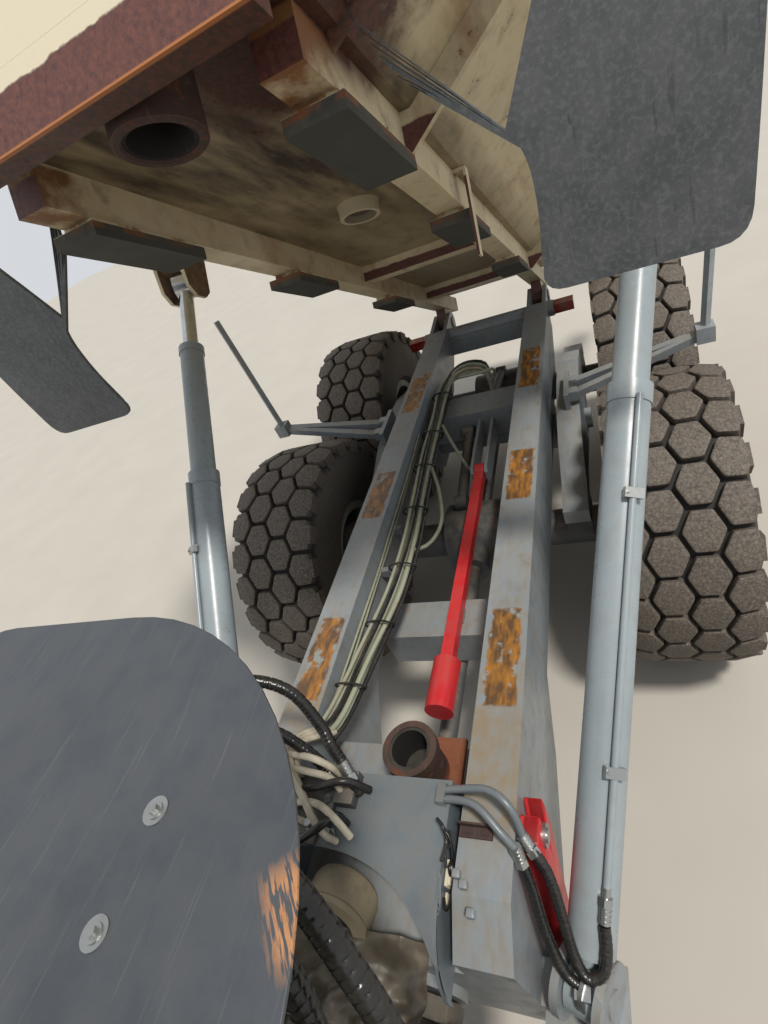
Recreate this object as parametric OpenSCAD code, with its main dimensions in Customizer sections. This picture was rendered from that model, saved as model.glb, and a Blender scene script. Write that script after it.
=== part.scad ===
// Articulated dump truck, three axles, bed raised on its two hoist cylinders.
// Millimetres, +X forward, +Y to the truck's left, +Z up. Modules are drawn with x = 0 at the
// front bogie axle; frame_shift then moves the whole truck so that x = 0 is the middle of its length.

/* [Wheels] */
// Radius of a tyre at its lug tips
tyre_r = 810; // [760:1:820]
// Width of a tyre
tyre_w = 595; // [500:1:600]
// Radius of the rim's flange
rim_r = 345; // [300:1:360]
// Distance from the middle of the truck to the middle of a tyre
track_half = 1120; // [1115:1:1140]
// Distance between the two rear axles
bogie_gap = 1700; // [1690:1:1800]
// Distance from the front bogie axle to the front axle
wheel_base = 4180; // [4150:1:4250]

/* [Rear frame] */
// Height of the rails' top above the ground
rail_top = 1460; // [1440:1:1475]
// Inner side of each rail from the middle of the truck
rail_in = 330; // [320:1:340]
// Width of each rail
rail_w = 172; // [150:1:176]
// Height of each rail along the bogie
rail_h = 380; // [340:1:420]
// Radius of the oscillation tube of the hitch
osc_r = 170; // [150:1:180]
// Height of the oscillation and steering centre
hitch_z = 950; // [940:1:960]

/* [Bed] */
// Angle at which the bed stands raised
bed_angle = 28; // [27:0.5:29]
// Half width of the flat floor
floor_half = 500; // [470:1:510]
// Half width of the bed over its rims
bed_half = 1400; // [1380:1:1405]
// Height of the floor's underside above the bed hinge
floor_z = 240; // [230:1:260]
// Height of the side's top above the bed hinge at the front
side_top = 1500; // [1400:1:1560]
// Thickness of the bed's plates
bed_wall = 30; // [20:1:40]

/* [Hoist] */
// Radius of the hoist barrel
barrel_r = 72; // [70:1:80]
// Radius of the hoist's middle stage
stage_r = 62; // [56:1:64]
// Radius of the chrome rod
rod_r = 40; // [36:1:44]
// Length of the hoist barrel from its lower pin
barrel_len = 1900; // [1850:1:1905]

/* [Front unit] */
// Distance from the front bogie axle to the steering pins
pin_x = 2850; // [2840:1:2860]
// Radius of the steering pins
pin_r = 55; // [45:1:60]
// Inner side of each front rail from the middle of the truck
front_in = 340; // [330:1:345]
// Width of each front rail
front_w = 115; // [100:1:120]
// Half width of the cab
cab_half = 720; // [680:1:730]
// Thickness of the cab's walls
cab_wall = 55; // [40:1:60]
// Half width of the hood
hood_half = 620; // [590:1:650]

/* [Hidden] */
$fn = 48;

// Colours
frame_grey = "#7c8489";
dark_grey = "#4b5054";
bed_cream = "#cdbf9d";
cab_cream = "#d8cdb2";
rubber = "#3a3836";
rust = "#6b4a34";
red = "#c2242c";

// Running clearance of a pin in its bore, seat gap between separate pieces, gap between moving ones
run = 0.05;
seat = 0.3;
gap = 5;

// Ends of the truck, from the front bogie axle
nose_x = 6700;

// Rear frame
rail_rear = -1870;
rail_front = 2300;
rail_out = rail_in + rail_w;
hinge_x = -2170;
hinge_z = 1400;
hinge_pin_r = 45;
hinge_lug_r = 88;
hinge_ear = 30;

// Bed, in its own frame: x and z from the hinge with the bed lowered
bed_front = 4120;
chute_x = -100;
bed_tail = -1280;
chute_rise = 380;
tail_drop = 350;
side_low = floor_z + 660;
beam_y = 410;
beam_w = 112;
beam_z = 125;
header_low = 100;
pad_z = rail_top - hinge_z + gap;
duct_x = 3920;
duct_y = 100;
duct_r = 108;
socket_x = 2740;
side_y = bed_half - 25;
function side_under(y) = floor_z + (side_low - floor_z) * (y - floor_half) / (side_y - floor_half);
// The raised bed's upper tail corner is the rearmost point of the truck
tail_x = hinge_x + bed_tail * cos(bed_angle) - (side_top - tail_drop) * sin(bed_angle);
frame_shift = -(nose_x + tail_x) / 2;

// Hoist: lower pin, the eye's place on the raised bed, and the swing axis of the barrel
foot = [2240, 640, 1050];
eye = [-210, 1190, 2800];
foot_axis = [0.2963, 0.9479, 0.1170];
eye_w = 90;
eye_r = 75;
hoist_len = norm(eye - foot);
stage_tip = 2640;
stage_back = 840;
eye_local = [2387.8, 1190, 316];

// Body prop between the rails, stowed forward
prop_foot = [-220, 70, 1170];
prop_len = 1660;

// Steering cylinders, from the steering pins
steer_z = 1060;
steer_a = [-300, 480];
steer_b = [1150, 600];
steer_barrel_r = 62;
steer_rod_r = 34;

// Front unit
front_top = 1420;
front_low = 1160;
lug_t = 70;
axle_r = 130;
hub_back = 10;
tow_r = 30;
wheel_z = tyre_r;
cab_rear = 3180;
cab_front = 4720;
cab_low = 1670;
cab_roof = 3400;
hood_rear = 4790;
hood_front = 6600;
hood_hinge = [6520, 1330];
deck_z = 1700;
deck_t = 40;
// Room between a front tyre and the mudguard, the steps ahead of it and the tank behind it
guard_rear = wheel_base - tyre_r - 70;
guard_front = wheel_base + tyre_r + 140;
step_x = wheel_base + tyre_r + 190;
tank_x = wheel_base - tyre_r - 90;

// Helpers

// Copies the children to the right side as well
module pair() { children(); mirror([0, 1, 0]) children(); }

// Box between two corners
module block(low, high) translate(low) cube(high - low);

// Outline of x and z points, thick from y0 to y1
module side_plate(points, y0, y1)
    translate([0, y1, 0]) rotate([90, 0, 0]) linear_extrude(y1 - y0) polygon(points);

// Outline of y and z points, thick from x0 to x1
module cross_plate(points, x0, x1)
    translate([x0, 0, 0]) rotate([90, 0, 90]) linear_extrude(x1 - x0) polygon(points);

// Places the children at a point with their z axis along a direction
module aim(at, dir)
    translate(at)
        rotate([0, acos(dir.z / norm(dir)), atan2(dir.y, dir.x)]) children();

// Round bar between two points
module rod(from, to, r) aim(from, to - from) cylinder(h = norm(to - from), r = r);

// Cylinder across the truck, centred on a point
module axle(at, r, w) translate(at) rotate([90, 0, 0]) cylinder(h = w, r = r, center = true);

// Upright cylinder
module post(at, r, h) translate(at) cylinder(h = h, r = r);

// Bed frame: hinge at the origin, turned up to the bed's angle
module on_bed() translate([hinge_x, 0, hinge_z]) rotate([0, -bed_angle, 0]) children();

// Vector of length one
function unit(v) = v / norm(v);

// Tube swept along a list of points: rings of 8 corners joined into one closed solid
function ring(at, dir, r) =
    let (a = unit(abs(dir.z) > 0.9 * norm(dir) ? cross(dir, [1, 0, 0]) : cross(dir, [0, 0, 1])),
         b = unit(cross(dir, a)))
    [for (i = [0:7]) at + r * (a * cos(45 * i) + b * sin(45 * i))];
module tube(points, r) {
    last = len(points) - 1;
    rings = [for (i = [0:last])
        ring(points[i], points[min(i + 1, last)] - points[max(i - 1, 0)], r)];
    sides = [for (i = [0:last - 1]) for (k = [0:7])
        [8 * i + k, 8 * i + (k + 1) % 8, 8 * (i + 1) + (k + 1) % 8, 8 * (i + 1) + k]];
    polyhedron([for (one = rings) for (p = one) p],
        concat([[for (k = [7:-1:0]) k]], sides, [[for (k = [0:7]) 8 * last + k]]));
}

// Rear unit

// One box rail: low and deep at the nose, tapered at its rear end
module rail()
    side_plate([[rail_rear, rail_top], [2150, rail_top], [rail_front, rail_top - 80],
        [rail_front, 690], [1900, 640], [1450, 860], [1200, rail_top - rail_h],
        [-1500, rail_top - rail_h], [rail_rear, rail_top - 0.55 * rail_h]], rail_in, rail_out);

// Ears that carry the foot of one hoist cylinder, on a shelf from the rail
module hoist_foot() {
    ear_gap = eye_w / 2 + gap;
    block([2150, rail_out - 1, foot.z - eye_r - 40], [2345, 745, foot.z - eye_r - 15]);
    intersection() {
        aim(foot, foot_axis) for (s = [-1, 1])
            translate([0, 0, s * (ear_gap + 12.5) - 12.5]) cylinder(h = 25, r = 105);
        block([2100, rail_out - 1, foot.z - eye_r - 30], [2345, 760, foot.z + 110]);
    }
    aim(foot, foot_axis) translate([0, 0, -ear_gap - 30])
        cylinder(h = 2 * ear_gap + 60, r = 38);
    block([2180, rail_out - 1, foot.z - eye_r - 40], [2300, rail_out + 60, foot.z - 20]);
}

// Two plates on each rail that hold the bed's hinge pin
module hinge_ears() {
    middle = rail_in + rail_w / 2;
    for (y = [middle - 75, middle + 75 - hinge_ear])
        side_plate(concat([[rail_rear + 200, rail_top - 20], [hinge_x, hinge_z + hinge_lug_r]],
            [for (a = [100:20:260]) [hinge_x, hinge_z] + hinge_lug_r * [cos(a), sin(a)]],
            [[rail_rear + 200, rail_top - 0.5 * rail_h]]), y, y + hinge_ear);
    axle([hinge_x, middle, hinge_z], hinge_pin_r, 170);
}

// Cross-members of the rear frame: x, length along x, bottom, top
cross_members = [[900, 220, 905, 1120], [-850, 260, 1090, 1300], [-1840, 90, 1260, 1400]];

// Ears and pin of the body prop
module prop_ears() {
    for (y = [-30 - gap - 20, 30 + gap])
        side_plate([[-721, 1110], [-721, 1240], [prop_foot.x + 20, 1220], [prop_foot.x + 50, 1190],
            [prop_foot.x + 50, 1130], [prop_foot.x, 1110]], prop_foot.y + y, prop_foot.y + y + 20);
    axle(prop_foot, 24, 2 * (30 + gap + 20));
}

module rear_frame() color(frame_grey) {
    difference() {
        union() {
            pair() { rail(); hoist_foot(); hinge_ears(); }
            for (m = cross_members)
                block([m[0] - m[1] / 2, -rail_in - 1, m[2]], [m[0] + m[1] / 2, rail_in + 1, m[3]]);
            // Nose box that holds the oscillation bearing
            block([1900, -rail_in - 1, 690], [2300, rail_in + 1, 1260]);
            translate([2290, 0, hitch_z]) rotate([0, 90, 0]) cylinder(h = 40, r = osc_r + 70);
            // Shelf behind the nose for the exhaust outlet
            block([1620, -rail_in - 1, 1180], [1901, rail_in + 1, 1230]);
            // Tube across the tail
            axle([rail_rear - 40, 0, rail_top - 70], 62, 2 * rail_out + 80);
            prop_ears();
            // Rest for the stowed prop, and clips for the hoses
            block([860, prop_foot.y - 30, 1119], [940, prop_foot.y + 30, prop_foot.z - 28 - seat]);
            for (x = [400, 720])
                block([x, -rail_in - 1, 1300], [x + 30, -279.3, 1345]);
            // Trunnion of the balance beams
            axle([-bogie_gap / 2, 0, 1000], 70, 1480);
            pair() block([-bogie_gap / 2 - 150, rail_in, 900],
                [-bogie_gap / 2 + 150, rail_out, rail_top - rail_h + 5]);
        }
        translate([1850, 0, hitch_z]) rotate([0, 90, 0]) cylinder(h = 520, r = osc_r + run);
    }
}

shaft_z = 850;
bulge_r = 225;
// One drive axle: housing, drum ends and a bulged differential
module axle_beam(x) {
    axle([x, 0, wheel_z], axle_r - 20, 2 * (track_half - hub_back - seat));
    translate([x, 0, wheel_z]) rotate([90, 0, 0]) cylinder(h = 360, r = bulge_r, center = true);
    rod([x, 0, shaft_z], [x + 340, 0, shaft_z], 95);
    pair() axle([x, track_half - 215, wheel_z], 210, 150);
    pair() block([x - 110, 560, wheel_z], [x + 110, 700, wheel_z + 150]);
}

module rear_axles() color(dark_grey) for (x = [0, -bogie_gap]) axle_beam(x);

// Torque rod from the middle cross-member to the top of the axle at the origin, eye to eye
module torque_rod(y) {
    from = [-720 + 45 + seat, y, 1180];
    reach = bulge_r + 45 + seat;
    to = [reach * cos(100), y, wheel_z + reach * sin(100)];
    rod(from, to, 34);
    axle(from, 45, 76);
    axle(to, 45, 76);
}

module rear_driveline() color(dark_grey) {
    // Shafts between the hitch, the middle axle and the rear axle
    rod([340 + seat, 0, shaft_z], [1860 - seat, 0, shaft_z], 45);
    rod([-bogie_gap + 340 + seat, 0, shaft_z], [-bulge_r - seat, 0, shaft_z], 45);
    torque_rod(-60);
    translate([-bogie_gap, 0, 0]) mirror([1, 0, 0]) torque_rod(60);
}

// One balance beam outboard of a rail: arched, pinned at its middle, resting on both axles
beam_in = 560;
beam_out = 700;
function arch(a) = [-bogie_gap / 2 + 930 * cos(a), 880 + 440 * sin(a)];
module balance_beam()
    difference() {
        side_plate(concat([[-bogie_gap - 150, wheel_z + 160], [-bogie_gap - 150, wheel_z + 250]],
            [for (a = [150:-20:30]) arch(a)],
            [[150, wheel_z + 250], [150, wheel_z + 160], [-300, wheel_z + 170],
             [-bogie_gap / 2, 850], [-bogie_gap + 300, wheel_z + 170]]), beam_in, beam_out);
        axle([-bogie_gap / 2, 630, 1000], 70 + run, 200);
    }

module balance_beams() color(frame_grey) pair() balance_beam();

// Flat wishbone on a pad on each balance beam, with the upright pole at its outer end
module mudguard_arm() {
    root = [-bogie_gap / 2, beam_out - 10, 1365];
    side_plate([arch(90) + [0, seat], arch(90) + [0, 80], arch(70) + [0, 105], arch(70) + [0, seat]],
        beam_in + 60, beam_out - 50);
    translate(root) {
        translate([0, 0, -20]) rotate([16, 0, 0]) linear_extrude(40)
            polygon([[85, -30], [145, -30], [240, 600], [230, -30], [290, -30], [280, 735], [215, 735]]);
        for (x = [115, 260]) block([x - 32, -45, -32], [x + 32, 10, 32]);
        block([210, 660, 165], [300, 750, 255]);
        aim([255, 705, 215], [-70, 83, 870]) translate([-17, -17, 0]) cube([34, 34, 877]);
    }
}

module mudguard_arms() color(frame_grey) pair() mudguard_arm();

// Outlet of the exhaust that meets the duct of the lowered bed
module exhaust_outlet() color(rust) {
    outlet = [1730, duct_y];
    difference() {
        union() {
            block([outlet.x - 140, outlet.y - 140, 1230 + seat], [outlet.x + 140, outlet.y + 140, 1254]);
            post([outlet.x, outlet.y, 1254], 92, 158);
            post([outlet.x, outlet.y, 1412], 104, 40);
        }
        post([outlet.x, outlet.y, 1265], 80, 200);
    }
}

// Grey saddle cover over the hitch and its valves, with a round hole in its curved front
module valve_cover() color("#6b7075") {
    low = 1260 + seat;
    // Clear of the header of the lowered bed
    top = hinge_z + header_low - 2 * gap;
    width = 300;
    difference() {
        union() {
            block([1850, -width, low], [2150, width, top]);
            translate([2150, 0, low]) intersection() {
                rotate([90, 0, 0]) cylinder(h = 2 * width, r = top - low, center = true);
                block([-1, -width, 0], [240, width, 240]);
            }
        }
        block([1862, -width + 12, low - 5], [2150, width - 12, top - 12]);
        translate([2150, 0, low]) rotate([90, 0, 0])
            cylinder(h = 2 * width - 24, r = top - low - 12, center = true);
        rod([2200, 0, 1330], [2450, 0, 1400], 95);
    }
    for (y = [-150, 60]) block([1880, y, low], [2060, y + 110, 1420]);
}

// Hoses clipped along the inner side of the right rail: side shift, height and radius of each
rail_hose_rows = [[0, 0, 17], [42, 6, 17], [20, 40, 15], [62, 44, 13]];
module rail_hoses() color("#a7a98a")
    for (h = rail_hose_rows)
        tube([for (p = [[-1150, -245, 1322], [-900, -245, 1326], [-600, -245, 1330],
            [-200, -255, 1330], [300, -262, 1325], [800, -262, 1330], [1300, -255, 1345],
            [1600, -235, 1370], [1790, -215, 1385], [1850 - seat, -215, 1385]])
            p + [0, h[0], h[1]]], h[2]);

// Red bar that locks the steering, stowed on the left rail
module steering_lock_bar() color(red) {
    side_plate([[1840, 1405], [1990, 1440], [2030, 1330], [2185, 760], [2150, 690], [2075, 700],
        [1940, 1240], [1850, 1290]], rail_out + seat, rail_out + 26);
    axle([1935, rail_out + 25, 1360], 36, 50);
    axle([2128, rail_out + 25, 735], 22, 50);
}

module tail_lamps() color("#8e2a22") pair()
    block([rail_rear - 100, rail_out + 40 + seat, rail_top - 110],
        [rail_rear, rail_out + 190, rail_top - 35]);

// Red prop that holds the empty bed up: hinged at its rear end, heavy head in front
module body_prop() color(red)
    difference() {
        union() {
            block(prop_foot + [0, -30, -28], prop_foot + [prop_len - 240, 30, 28]);
            axle(prop_foot, 48, 60);
            translate(prop_foot + [prop_len - 250, 0, 0]) rotate([0, 90, 0]) cylinder(h = 250, r = 64);
        }
        axle(prop_foot, 24 + run, 80);
    }

// Hoist cylinders: side is 1 for the left one and -1 for the right one
module hoist_side(side) if (side > 0) children(); else mirror([0, 1, 0]) children();

module hoist_barrel(side) color("#8d979c") hoist_side(side)
    difference() {
        union() {
            aim(foot, foot_axis) cylinder(h = eye_w, r = eye_r, center = true);
            aim(foot, eye - foot) {
                translate([0, 0, 60]) cylinder(h = 60, r = eye_w / 2 - 5);
                translate([0, 0, 110]) cylinder(h = barrel_len - 110, r = barrel_r);
                translate([0, 0, barrel_len - 70]) cylinder(h = 70, r = barrel_r + 4);
            }
        }
        aim(foot, foot_axis) cylinder(h = 2 * eye_w, r = 38 + run, center = true);
        aim(foot, eye - foot) translate([0, 0, 150]) cylinder(h = barrel_len, r = stage_r + 0.4);
    }

module hoist_stage(side) color("#8d979c") hoist_side(side)
    aim(foot, eye - foot) difference() {
        union() {
            translate([0, 0, stage_back]) cylinder(h = stage_tip - stage_back, r = stage_r);
            translate([0, 0, stage_tip - 40]) cylinder(h = 40, r = stage_r + 5);
        }
        translate([0, 0, stage_back + 30]) cylinder(h = stage_tip, r = rod_r + 0.4);
    }

module hoist_rod(side) color("#c9ced2") hoist_side(side) {
    aim(foot, eye - foot)
        translate([0, 0, hoist_len - 1250]) cylinder(h = 1250 - eye_r + 20, r = rod_r);
    difference() {
        aim(eye, foot_axis) cylinder(h = eye_w, r = eye_r, center = true);
        aim(eye, foot_axis) cylinder(h = 2 * eye_w, r = 36, center = true);
    }
}

// Bed

// Outline of the bed seen from the side, with its plates' thickness taken off by t
module bed_side_view(t, top, front, rear)
    side_plate([[front, floor_z + t], [chute_x, floor_z + t],
        [bed_tail - rear, floor_z + t + chute_rise * (chute_x - bed_tail + rear) / (chute_x - bed_tail)],
        [bed_tail - rear, rear > 0 ? top : top - tail_drop], [chute_x, top], [front, top]],
        -bed_half - 10, bed_half + 10);

// Section across the bed, narrowed by t
module bed_section(t, top)
    cross_plate([[-floor_half, floor_z + t], [floor_half, floor_z + t],
        [side_y - t, side_low + t * 0.6], [side_y - t, top],
        [-side_y + t, top], [-side_y + t, side_low + t * 0.6]], bed_tail - 100, bed_front + 100);

module bed_tub() color(bed_cream) on_bed() {
    difference() {
        intersection() {
            bed_side_view(0, side_top, bed_front, 0);
            bed_section(0, side_top);
        }
        intersection() {
            bed_side_view(bed_wall, side_top + 50, bed_front - bed_wall, 50);
            bed_section(bed_wall, side_top + 50);
        }
    }
    // Rims along the top of both sides
    pair() block([chute_x, bed_half - 70, side_top - 90], [bed_front, bed_half, side_top]);
    // Upright ribs on both sides
    pair() for (x = [300:900:3900])
        block([x, bed_half - 26, side_low + 40], [x + 110, bed_half, side_top - 89]);
}

// Space under the floor and one sloping side, from the half width y0
module under_side(y0, low)
    cross_plate([[y0, low - 200], [side_y, low - 200], [side_y, side_low - 2 * seat],
        [floor_half, floor_z - 2 * seat], [y0, floor_z - 2 * seat]], 0, bed_front);

// Ears of one hoist bracket under the sloping side
module hoist_bracket() {
    half = 80;
    for (y = [eye_local.y - half - 22, eye_local.y + half])
        intersection() {
            side_plate([[eye_local.x - 70, eye_local.z - 60], [eye_local.x - 160, side_low],
                [eye_local.x + 160, side_low], [eye_local.x + 90, eye_local.z - 30],
                [eye_local.x + 40, eye_local.z - 85], [eye_local.x - 30, eye_local.z - 90]], y, y + 22);
            under_side(floor_half, 0);
        }
}

module bed_beams() color(bed_cream) on_bed() {
    pair() {
        block([-330, beam_y - beam_w / 2, beam_z], [3880, beam_y + beam_w / 2, floor_z - seat]);
        hoist_bracket();
        // Lug that turns on the frame's hinge pin
        difference() {
            union() {
                axle([0, rail_in + rail_w / 2, 0], hinge_lug_r - 8, 80);
                block([-70, rail_in + rail_w / 2 - 40, 0], [70, rail_in + rail_w / 2 + 40, beam_z + 1]);
            }
            axle([0, rail_in + rail_w / 2, 0], hinge_pin_r + run, 120);
        }
        // Gusset between the beam and the sloping side
        for (x = [700, 3250])
            intersection() {
                cross_plate([[beam_y + 40, beam_z], [beam_y + beam_w / 2 + 20, beam_z],
                    [bed_half - 150, side_low - 160], [beam_y + 40, floor_z + 150]], x, x + 24);
                under_side(beam_y, 0);
            }
    }
    // Header box across the front edge
    block([bed_front - 70, -floor_half, header_low], [bed_front, floor_half, floor_z - seat]);
    // Cross bearers under the floor
    for (x = [500, 1700])
        block([x, -beam_y, beam_z + 30], [x + 100, beam_y, floor_z - seat]);
    // Duct for the exhaust
    difference() {
        translate([duct_x, duct_y, 95]) cylinder(h = floor_z - seat - 95, r = duct_r);
        translate([duct_x, duct_y, 90]) cylinder(h = 120, r = duct_r - 16);
    }
    // Socket that the body prop meets
    difference() {
        translate([socket_x, prop_foot.y, floor_z - 50]) cylinder(h = 50 - seat, r = 85);
        translate([socket_x, prop_foot.y, floor_z - 51]) cylinder(h = 30, r = 68);
    }
    // Strap on a foot from the left beam, ahead of the middle pad: it hangs outside the rail
    strap_x = pads[1][0] + pads[1][1] / 2 + gap;
    block([strap_x, beam_y + beam_w / 2 - 1, floor_z - 12],
        [strap_x + 50, rail_out + gap + 10, floor_z - seat]);
    block([strap_x, rail_out + gap, -90], [strap_x + 50, rail_out + gap + 10, floor_z - seat]);
}

// Rubber pads that rest on the rails when the bed is down: middle and length
pads = [[3530, 470], [2440, 400], [1220, 380]];
module bed_pads() color(rubber) on_bed() pair()
    for (p = pads) {
        block([p[0] - p[1] / 2, beam_y - 85, pad_z], [p[0] + p[1] / 2, beam_y + 85, pad_z + 40]);
        block([p[0] - p[1] / 2 + 25, beam_y - 60, pad_z + 39],
            [p[0] + p[1] / 2 - 25, beam_y + 60, beam_z - seat]);
    }

// Rubber flaps that hang straight down from the sloping sides near the bed's front corners
flap_x = 985;
flap_t = 14;
flap_low = 2630;
flap_out = 1300;
function flap_top(y) = hinge_z + (flap_x - hinge_x) * tan(bed_angle) + side_under(y) / cos(bed_angle) - 1;
module bed_flaps() color(rubber) pair()
    cross_plate([[790, flap_low + 12], [1285, flap_low], [flap_out, flap_low + 450],
        [flap_out, flap_top(flap_out)], [520, flap_top(520)], [600, 3270], [760, 3110], [828, 2960]],
        flap_x, flap_x + flap_t);

// Wheels

// Section of a tyre: x is the radius and y the half width
tyre_section = [[rim_r + 8, 0], [rim_r + 8, 235], [rim_r + 40, 275], [rim_r + 190, tyre_w / 2],
    [tyre_r - 110, tyre_w / 2], [tyre_r - 30, tyre_w / 2 - 22], [tyre_r, tyre_w / 2 - 60], [tyre_r, 0]];

module tyre(x, side) color(rubber)
    translate([x, side * track_half, wheel_z]) rotate([90, 0, 0])
        rotate_extrude() polygon(concat(tyre_section,
            [for (i = [len(tyre_section) - 2:-1:1]) [tyre_section[i].x, -tyre_section[i].y]]));

// Rim: barrel with flanges, dished disc towards the outside and a hub with a round cover
module rim(x, side) color("#8a8f8c")
    translate([x, side * track_half, wheel_z]) rotate([side * -90, 0, 0]) {
        rotate_extrude() polygon([[rim_r - 45, -240], [rim_r + 8 - seat, -240],
            [rim_r + 8 - seat, 240], [rim_r - 45, 240], [rim_r - 45, 60], [150, 20], [150, 120],
            [0, 120], [0, -hub_back], [rim_r - 45, 10]]);
    }

// Hitch: oscillation tube, head between the steering lugs, and arms for the steering cylinders
module hitch_yoke() color(rust)
    difference() {
        union() {
            translate([1860, 0, hitch_z]) rotate([0, 90, 0]) cylinder(h = 600, r = osc_r);
            translate([2345, 0, hitch_z]) rotate([0, 90, 0]) cylinder(h = 60, r = osc_r + 60);
            block([2400, -130, 760], [pin_x, 130, 1140]);
            post([pin_x, 0, front_low - 490], 120, 500 - 5 + 80);
            post([pin_x, 0, 520], pin_r, 900);
            // Arms, one plate above and one below each steering cylinder
            for (z = [steer_z - steer_barrel_r - gap - 25, steer_z + steer_barrel_r + gap])
                block([2430, -540, z], [2620, 540, z + 25]);
            pair() post([pin_x + steer_a.x, steer_a.y, steer_z - steer_barrel_r - gap - 20], 32,
                2 * (steer_barrel_r + gap + 20));
        }
        translate([1850, 0, hitch_z]) rotate([0, 90, 0]) cylinder(h = 500, r = 95);
    }

// Steering cylinders
steer_dir = [steer_b.x - steer_a.x, steer_b.y - steer_a.y, 0];
steer_from = [pin_x + steer_a.x, steer_a.y, steer_z];
steer_to = [pin_x + steer_b.x, steer_b.y, steer_z];
steer_len = norm(steer_dir);

module steering_barrel(side) color(dark_grey) hoist_side(side)
    difference() {
        union() {
            post(steer_from - [0, 0, steer_barrel_r], 58, 2 * steer_barrel_r);
            aim(steer_from, steer_dir) translate([0, 0, 50]) cylinder(h = 850, r = steer_barrel_r);
        }
        post(steer_from - [0, 0, 80], 32 + run, 160);
        aim(steer_from, steer_dir) translate([0, 0, 75]) cylinder(h = 900, r = steer_rod_r + 0.4);
    }

module steering_rod(side) color("#c9ced2") hoist_side(side) {
    aim(steer_from, steer_dir)
        translate([0, 0, steer_len - 960]) cylinder(h = 960 - 40, r = steer_rod_r);
    difference() {
        post(steer_to - [0, 0, 45], 58, 90);
        post(steer_to - [0, 0, 60], 30, 120);
    }
}

// Front unit

module front_frame() color(frame_grey) {
    difference() {
        union() {
            pair() side_plate([[3250, front_top], [nose_x - 250, front_top], [nose_x - 250, front_low],
                [3250, front_low]], front_in, front_in + front_w);
            // Upper and lower steering lugs
            for (z = [front_top - lug_t - 20, 560]) {
                post([pin_x, 0, z], 150, lug_t);
                block([pin_x, -150, z], [3500, 150, z + lug_t]);
            }
            block([3250, -front_in - 1, front_low], [3480, front_in + 1, front_top]);
            // Upright web and box that join the lugs
            block([pin_x + 145, -90, 560], [3480, 90, front_low + 1]);
            block([3300, -230, 560], [3480, 230, front_low + 1]);
            // Cross-members
            for (x = [4620, 6300])
                block([x, -front_in - 1, front_low + 20], [x + 130, front_in + 1, front_top - 40]);
            // Struts and links to the front axle
            pair() {
                block([wheel_base - 30, front_in, front_low - 60], [wheel_base + 150, 620, front_low + 1]);
                post([wheel_base + 60, 560, wheel_z + 135 + seat], 48, front_low - wheel_z - 190);
            }
            // Ears and pins of the hood
            pair() {
                block([6380, front_in + front_w - 1, 1290], [hood_hinge.x + 25, 484, 1370]);
                axle([hood_hinge.x, 505, hood_hinge[1]], 22, 90);
            }
            // Plates over the steering rods' eyes
            pair() {
                block([steer_to.x - 110, front_in + 20, steer_z + 45 + gap + 8],
                    [steer_to.x + 110, steer_b.y + 60, steer_z + 45 + gap + 28]);
                block([steer_to.x - 60, front_in + 20, steer_z + 45 + gap + 20],
                    [steer_to.x + 60, front_in + front_w, front_low + 1]);
            }
        }
        post([pin_x, 0, 500], pin_r + run, 1000);
    }
}

module front_axle() color(dark_grey) {
    axle([wheel_base, 0, wheel_z], axle_r - 20, 2 * (track_half - hub_back - seat));
    translate([wheel_base, 0, wheel_z]) rotate([90, 0, 0]) cylinder(h = 340, r = 215, center = true);
    rod([wheel_base - 330, 0, wheel_z + 40], [wheel_base, 0, wheel_z], 95);
    rod([3560, 0, hitch_z - 60], [wheel_base - 328, 0, wheel_z + 40], 45);
    pair() axle([wheel_base, track_half - 215, wheel_z], 210, 150);
    pair() block([wheel_base - 30, 505, wheel_z + 60], [wheel_base + 150, 620, wheel_z + 135]);
}

module engine() color(dark_grey) {
    // Engine, gearbox and radiator, each a plain block at its place
    block([4960, -front_in + seat, 1190], [6200, front_in - seat, 1960]);
    block([3600, -300, 1060], [4480, 300, 1480]);
    block([3900, -front_in + seat, 1220], [4000, front_in - seat, 1320]);
    block([6310, -470, front_top + seat], [6400, 470, 2060]);
}

// Outline of the hood from the side; t takes its wall off
module hood_outline(t, back)
    side_plate([[hood_rear - back, 1450 - back], [hood_rear - back, 2440 - t], [5600, 2400 - t],
        [6450 - t, 2220 - t], [hood_front - t, 2100 - t], [hood_front - t, 1340 - back],
        [6460, 1340 - back], [6300, 1450 - back]], -hood_half + t, hood_half - t);

hood_wall = 28;
module hood() color(cab_cream)
    difference() {
        union() {
            difference() {
                hood_outline(0, 0);
                hood_outline(hood_wall, 40);
                // Opening for the grille
                block([6400, -440, 1480], [6700, 440, 2030]);
            }
            pair() axle([hood_hinge.x, 520, hood_hinge[1]], 40, 60);
            pair() block([hood_hinge.x - 20, 490, hood_hinge[1]], [hood_front - 10, 550, 1420]);
        }
        axle([hood_hinge.x, 0, hood_hinge[1]], 22 + run, 2 * hood_half);
    }

module grille() color("#2b2d2f") {
    for (z = [1510:62:2020])
        block([6560, -440 + seat, z - 14], [6588, 440 - seat, z + 14]);
    for (y = [-300, 0, 300])
        block([6545, y - 12, 1480 + seat], [6565, y + 12, 2030 - seat]);
}

// Cab

// Window openings as boxes cut through the walls: low and high corners
side_window = [[3330, 2350], [3520, 3230]];
door_x = [3600, 4600];
door_z = [1780, 3290];
door_hinge = [door_x[1] + 30, cab_half + 22];
hinge_heights = [1950, 3050];

module cab_outline(t)
    side_plate([[cab_rear + t, cab_low + t], [cab_rear + t, cab_roof - 60 - t],
        [cab_rear + 60 + t, cab_roof - t], [cab_front - 200 - t, cab_roof - t],
        [cab_front - 130 - t, cab_roof - 60 - t], [cab_front - t, 2430],
        [cab_front - t, cab_low + t]], -cab_half + t, cab_half - t);

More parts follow.
